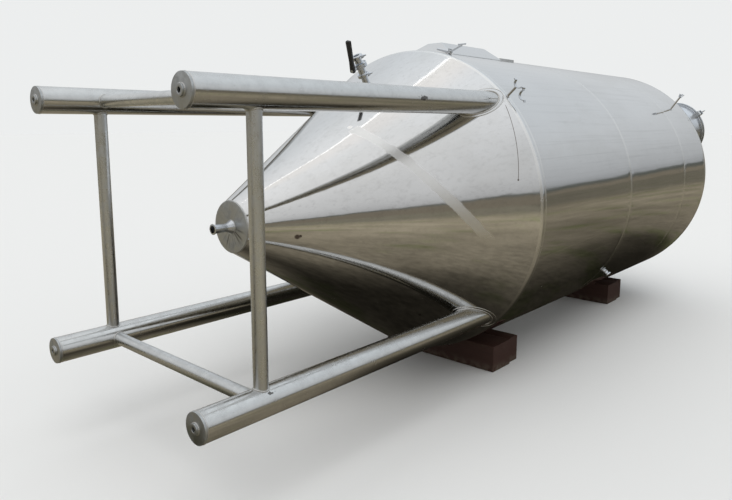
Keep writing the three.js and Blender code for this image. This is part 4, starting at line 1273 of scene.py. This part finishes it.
def add_racking_port():
    """The neck on the cone, the valve's body between two clamps, its bolts and its bonnet."""
    root, face = -WALL - PORT_INSIDE, NECK_TOP - 0.0003
    neck = [
        (TUBE_BORE, root), (TUBE_RADIUS, root), (TUBE_RADIUS, -0.002), (NECK_FLARE_RADIUS, -0.0015),
        (0.0278, 0.0005), (0.0235, 0.0035), (0.0205, 0.0085), (TUBE_RADIUS, 0.016),
        (TUBE_RADIUS, NECK_TOP - FERRULE_LENGTH), (FERRULE_RADIUS, NECK_TOP - FERRULE_RIM),
        (FERRULE_RADIUS, face), (TUBE_BORE, face),
    ]
    stand_in(lathe("racking_neck", neck, RACKING, 72), "racking_port_neck", look="bright_steel")
    path = [(x, y, -y * y / (2 * port_radius)) for x, y, _ in circle(NECK_FLARE_RADIUS, 200)]
    bead("racking_weld", path, NECK_BEAD, RACKING)
    clamp_ring("racking_clamp", NECK_TOP, FERRULE_RADIUS + 0.0003, CLAMP_RING_RADIUS, "racking_clamp_ring")
    upper = [(VALVE_WAIST, FLANGE_HALF + 0.003), (VALVE_RADIUS, FLANGE_HALF), (VALVE_RADIUS, FLANGE_GAP_HALF),
             (VALVE_RADIUS - VALVE_GROOVE, FLANGE_GAP_HALF)]
    face = VALVE_TOP - 0.0005
    body = rounded([
        (TUBE_BORE, VALVE_BOTTOM), (FERRULE_RADIUS, VALVE_BOTTOM),
        (FERRULE_RADIUS, VALVE_BOTTOM + FERRULE_RIM), (VALVE_WAIST, VALVE_BOTTOM + FERRULE_LENGTH),
        *((r, VALVE_HEIGHT + h) for r, h in mirrored(upper)),
        (VALVE_WAIST, VALVE_TOP - FERRULE_LENGTH), (FERRULE_RADIUS, VALVE_TOP - FERRULE_RIM),
        (FERRULE_RADIUS, face), (TUBE_BORE, face),
    ], FINE_EDGE)
    stand_in(lathe("valve_body", body, RACKING, 96), "racking_valve_body", look="bright_steel")
    clamp_ring("outer_clamp", VALVE_TOP - RING_HALF - 0.0005, VALVE_WAIST + 0.001, CLAMP_RING_RADIUS - 0.0002)
    for k in range(4):
        a = pi / 4 + k * pi / 2
        x, y = FLANGE_BOLTS * cos(a), FLANGE_BOLTS * sin(a)
        for side, label, flip in ((1, "top", 0), (-1, "low", 180)):
            at = turned(moved(RACKING, x, y, VALVE_HEIGHT + side * (FLANGE_HALF + 0.0005)), flip, "X")
            dress(hexagon(f"valve_bolt_{k}_{label}", 0.0055, 0.0045, at))
    end = -LEVER_OFFSET + LEVER_THICKNESS / 2 + 0.0015
    bonnet = [
        (STEM_BORE, end), (0.0105, end), (0.012, end + 0.0015), (0.012, end + 0.007),
        (0.01, end + 0.009), (0.01, -0.039), (0.0125, -0.036), (0.0125, -0.03), (STEM_BORE, -0.03),
    ]
    dress(lathe("valve_bonnet", bonnet, AT_VALVE @ LENGTHWISE, 48))


def add_lever():
    """The disc, stem, lever and nut that turn together."""
    middle = AT_VALVE @ Matrix.Rotation(LEVER_TURN, 4, "X")
    disc = mirrored([(0, DISC_HALF + 0.0015), (DISC_RADIUS * 0.5, DISC_HALF + 0.0006),
                     (DISC_RADIUS, DISC_EDGE_HALF)])
    made = lathe("valve_disc", disc, turned(middle, 90, "X"), 64)
    stand_in(made, "racking_valve_disc", "valve_handle")
    stem = bar("valve_stem", (-LEVER_OFFSET - 0.0035, 0, 0), (0.0245, 0, 0), STEM_RADIUS, middle)
    dress(stem, body="valve_handle")
    half = LEVER_WIDTH / 2
    side = [(half, -LEVER_HEEL), (half, 0.012), (half * 0.8, LEVER_LENGTH * 0.3), (half, LEVER_LENGTH)]
    outline = rounded([(-half, -LEVER_HEEL), *side, *((-x, y) for x, y in side[:0:-1])], 0.006)
    lever_frame = moved(middle, -LEVER_OFFSET) @ UPRIGHT
    lever = prism("valve_lever", outline, LEVER_THICKNESS + 0.003, lever_frame, 0.0035, 3)
    stand_in(lever, "racking_valve_lever", "valve_handle")
    nut_frame = turned(moved(middle, -LEVER_OFFSET - 0.006), -90, "Y")
    dress(hexagon("lever_nut", 0.0075, 0.0035, nut_frame), body="valve_handle")


# Fittings on the shell
def on_shell(x, degrees, lean=0.0):
    """A frame on the shell, its own Z pointing out of it."""
    turn = radians(degrees)
    foot = (x, -RADIUS * sin(turn), RADIUS * cos(turn))
    return moved(TANK, *foot) @ Matrix.Rotation(turn - radians(lean), 4, "X")


def add_side_port():
    at = on_shell(SIDE_PORT_X, SIDE_PORT_TURN)
    top = SIDE_PORT_STAND_OFF + 0.0055
    cap = [
        (0, -0.004), (0.0225, -0.004), (0.022, 0.0025), (TUBE_RADIUS, 0.005), (TUBE_RADIUS, 0.015),
        (0.025, 0.0195), (0.0262, 0.021), (0.0262, top - 0.003), (0.0235, top - 0.0005),
        (0.012, top - 0.001), (0, top - 0.0013),
    ]
    stand_in(lathe("side_port_cap", cap, at, 72), "side_port")
    ring = [(0.024, 0.0205), (0.0268, 0.0205), (SIDE_PORT_RADIUS, 0.022), (SIDE_PORT_RADIUS, 0.0275),
            (0.0268, 0.029), (0.024, 0.029)]
    dress(lathe("side_port_clamp", ring, at, 72))
    bead("side_port_weld", circle(0.0215, 120, 0.0015), SIDE_PORT_BEAD, at)


def half_band(name, matrix, bolts):
    """Half of a split pipe band with an ear at each end, hollow side up, across the tank."""
    ear_angle = asin(EAR_THICKNESS / BAND_OUTER)
    outline = [(-BAND_TIP, 0), (-BAND_TIP, -EAR_THICKNESS)]
    outline += arc((0, 0), BAND_OUTER, pi + ear_angle, 2 * pi - ear_angle, BAND_STEPS)
    outline += [(BAND_TIP, -EAR_THICKNESS), (BAND_TIP, 0)]
    outline += arc((0, 0), BAND_INNER, 0, -pi, BAND_STEPS)
    dress(prism(name, outline, BAND_WIDTH, matrix @ UPRIGHT, FINE_EDGE))
    for k, side in enumerate(bolts):
        at = turned(moved(matrix, 0, side * (BAND_OUTER + BAND_EAR / 2), -EAR_THICKNESS), 180, "X")
        dress(hexagon(f"{name}_nut_{k}", 0.0045, 0.0035, at))


def add_support(name, x, turn, lean, length, hanging):
    """A rod on a small foot with half of a pipe band, its other half hanging open on the lower one."""
    at = on_shell(x, turn, lean)
    foot = [(0, -0.003), (0.0138, -0.003), (0.0138, 0.0018), (0.0125, 0.0032), (0, 0.0034)]
    stand_in(lathe(f"{name}_foot", foot, on_shell(x, turn), 48), f"pipe_support_{name}")
    rod = bar(f"{name}_rod", (0, 0, 0.001), (0, 0, length + 0.002), ROD_RADIUS, at)
    dress(rod, look="sheet_steel")
    bead(f"{name}_weld", circle(ROD_RADIUS + 0.0006, 60, 0.0035), SUPPORT_BEAD, at)
    middle = moved(at, z=length + BAND_OUTER)
    if not hanging:
        half_band(f"{name}_band", turned(middle, 90, "Z"), (-1, 1))
        return
    half_band(f"{name}_band", middle, (1,))
    hinge = moved(middle, 0, -BAND_TIP)
    dress(bar(f"{name}_hinge", (-0.01, 0, 0), (0.01, 0, 0), 0.006, hinge))
    swung = moved(turned(hinge, HANGING_TURN - turn, "X"), 0, BAND_TIP)
    half_band(f"{name}_open_band", turned(swung, 180, "X"), ())


def add_opened_bracket():
    """The opened support on the ridge: hub, pin, two arms and a bar."""
    reach = RADIUS + SKIN + HUB_RADIUS
    y, z = -reach * sin(OPEN_BRACKET_TURN), reach * cos(OPEN_BRACKET_TURN)
    at = moved(TANK, OPEN_BRACKET_X, y, z)
    hub = bar("ridge_hub", (-0.0128, 0, 0), (0.0128, 0, 0), HUB_RADIUS, at, BROAD_EDGE)
    stand_in(hub, "pipe_support_ridge")
    near_end = Vector(NEAR_ARM)
    dress(bar("ridge_pin", (-0.0125, 0, 0.015), (0.0125, 0, 0.015), 0.0055, at))
    dress(bar("ridge_arm_far", (0, 0, 0), FAR_ARM, 0.0075, at, BROAD_EDGE))
    dress(bar("ridge_arm_near", (0, 0, 0), near_end, 0.0065, at, BROAD_EDGE))
    ends = [near_end + Vector((0, side * BAR_HALF, BAR_RISE)) for side in (-1, 1)]
    dress(bar("ridge_bar_end", *ends, 0.0048, at))
    bead("ridge_weld", circle(0.0085, 60, -HUB_RADIUS + 0.002), RIDGE_BEAD, at)


# Timber blocks
def add_timber(node, seed):
    """Two sawn beams side by side under the tank, their faces uneven and their edges worn."""
    low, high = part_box(node)
    split = low.x + (high.x - low.x) * PLANK_SPLIT
    for k, (x0, x1) in enumerate(((low.x, split - PLANK_GAP_HALF), (split + PLANK_GAP_HALF, high.x))):
        y0, y1 = low.y + 0.012 * k, high.y - 0.009 * k
        size = Vector((x1 - x0, y1 - y0, high.z - low.z - 0.0015 * k))
        centre = ((x0 + x1) / 2, (y0 + y1) / 2, low.z + size.z / 2)
        section = oblong(-size.x / 2, size.x / 2, -size.z / 2, size.z / 2, 0.005, 2)
        rings = []
        for i in range(SAW_STEPS + 1):
            y = size.y * (i / SAW_STEPS - 0.5)
            ring = []
            for x, z in section:
                depth = SAW_DEPTH * (1 + noise.noise(Vector((x * 9 + seed + 5 * k, y * 14, z * 9))))
                ring.append((x * (1 - depth / (size.x / 2)), y, z * (1 - depth / size.z)))
            rings.append(ring)
        beam = piece(f"{node}_beam_{k}", skinned(rings, "capped"), Matrix.Translation(centre), 28)
        if k:
            dress(beam, "block_timber")
        else:
            stand_in(beam, node)


add_camera()
add_surroundings()
add_shell()
add_head()
add_frame()
add_outlet()
add_cover()
add_manway()
add_racking_port()
add_lever()
add_side_port()
add_support("lower", **LOWER_SUPPORT, hanging=True)
add_support("upper", **UPPER_SUPPORT, hanging=False)
add_opened_bracket()
add_timber("timber_block_cone_end", 1)
add_timber("timber_block_head_end", 4)
for row in frame["record"]["subparts"]:
    node = frame["nodes"][row["node"]]
    node.data.materials.clear()
    node.data.materials.append(MATERIALS[row["material_slot"]])
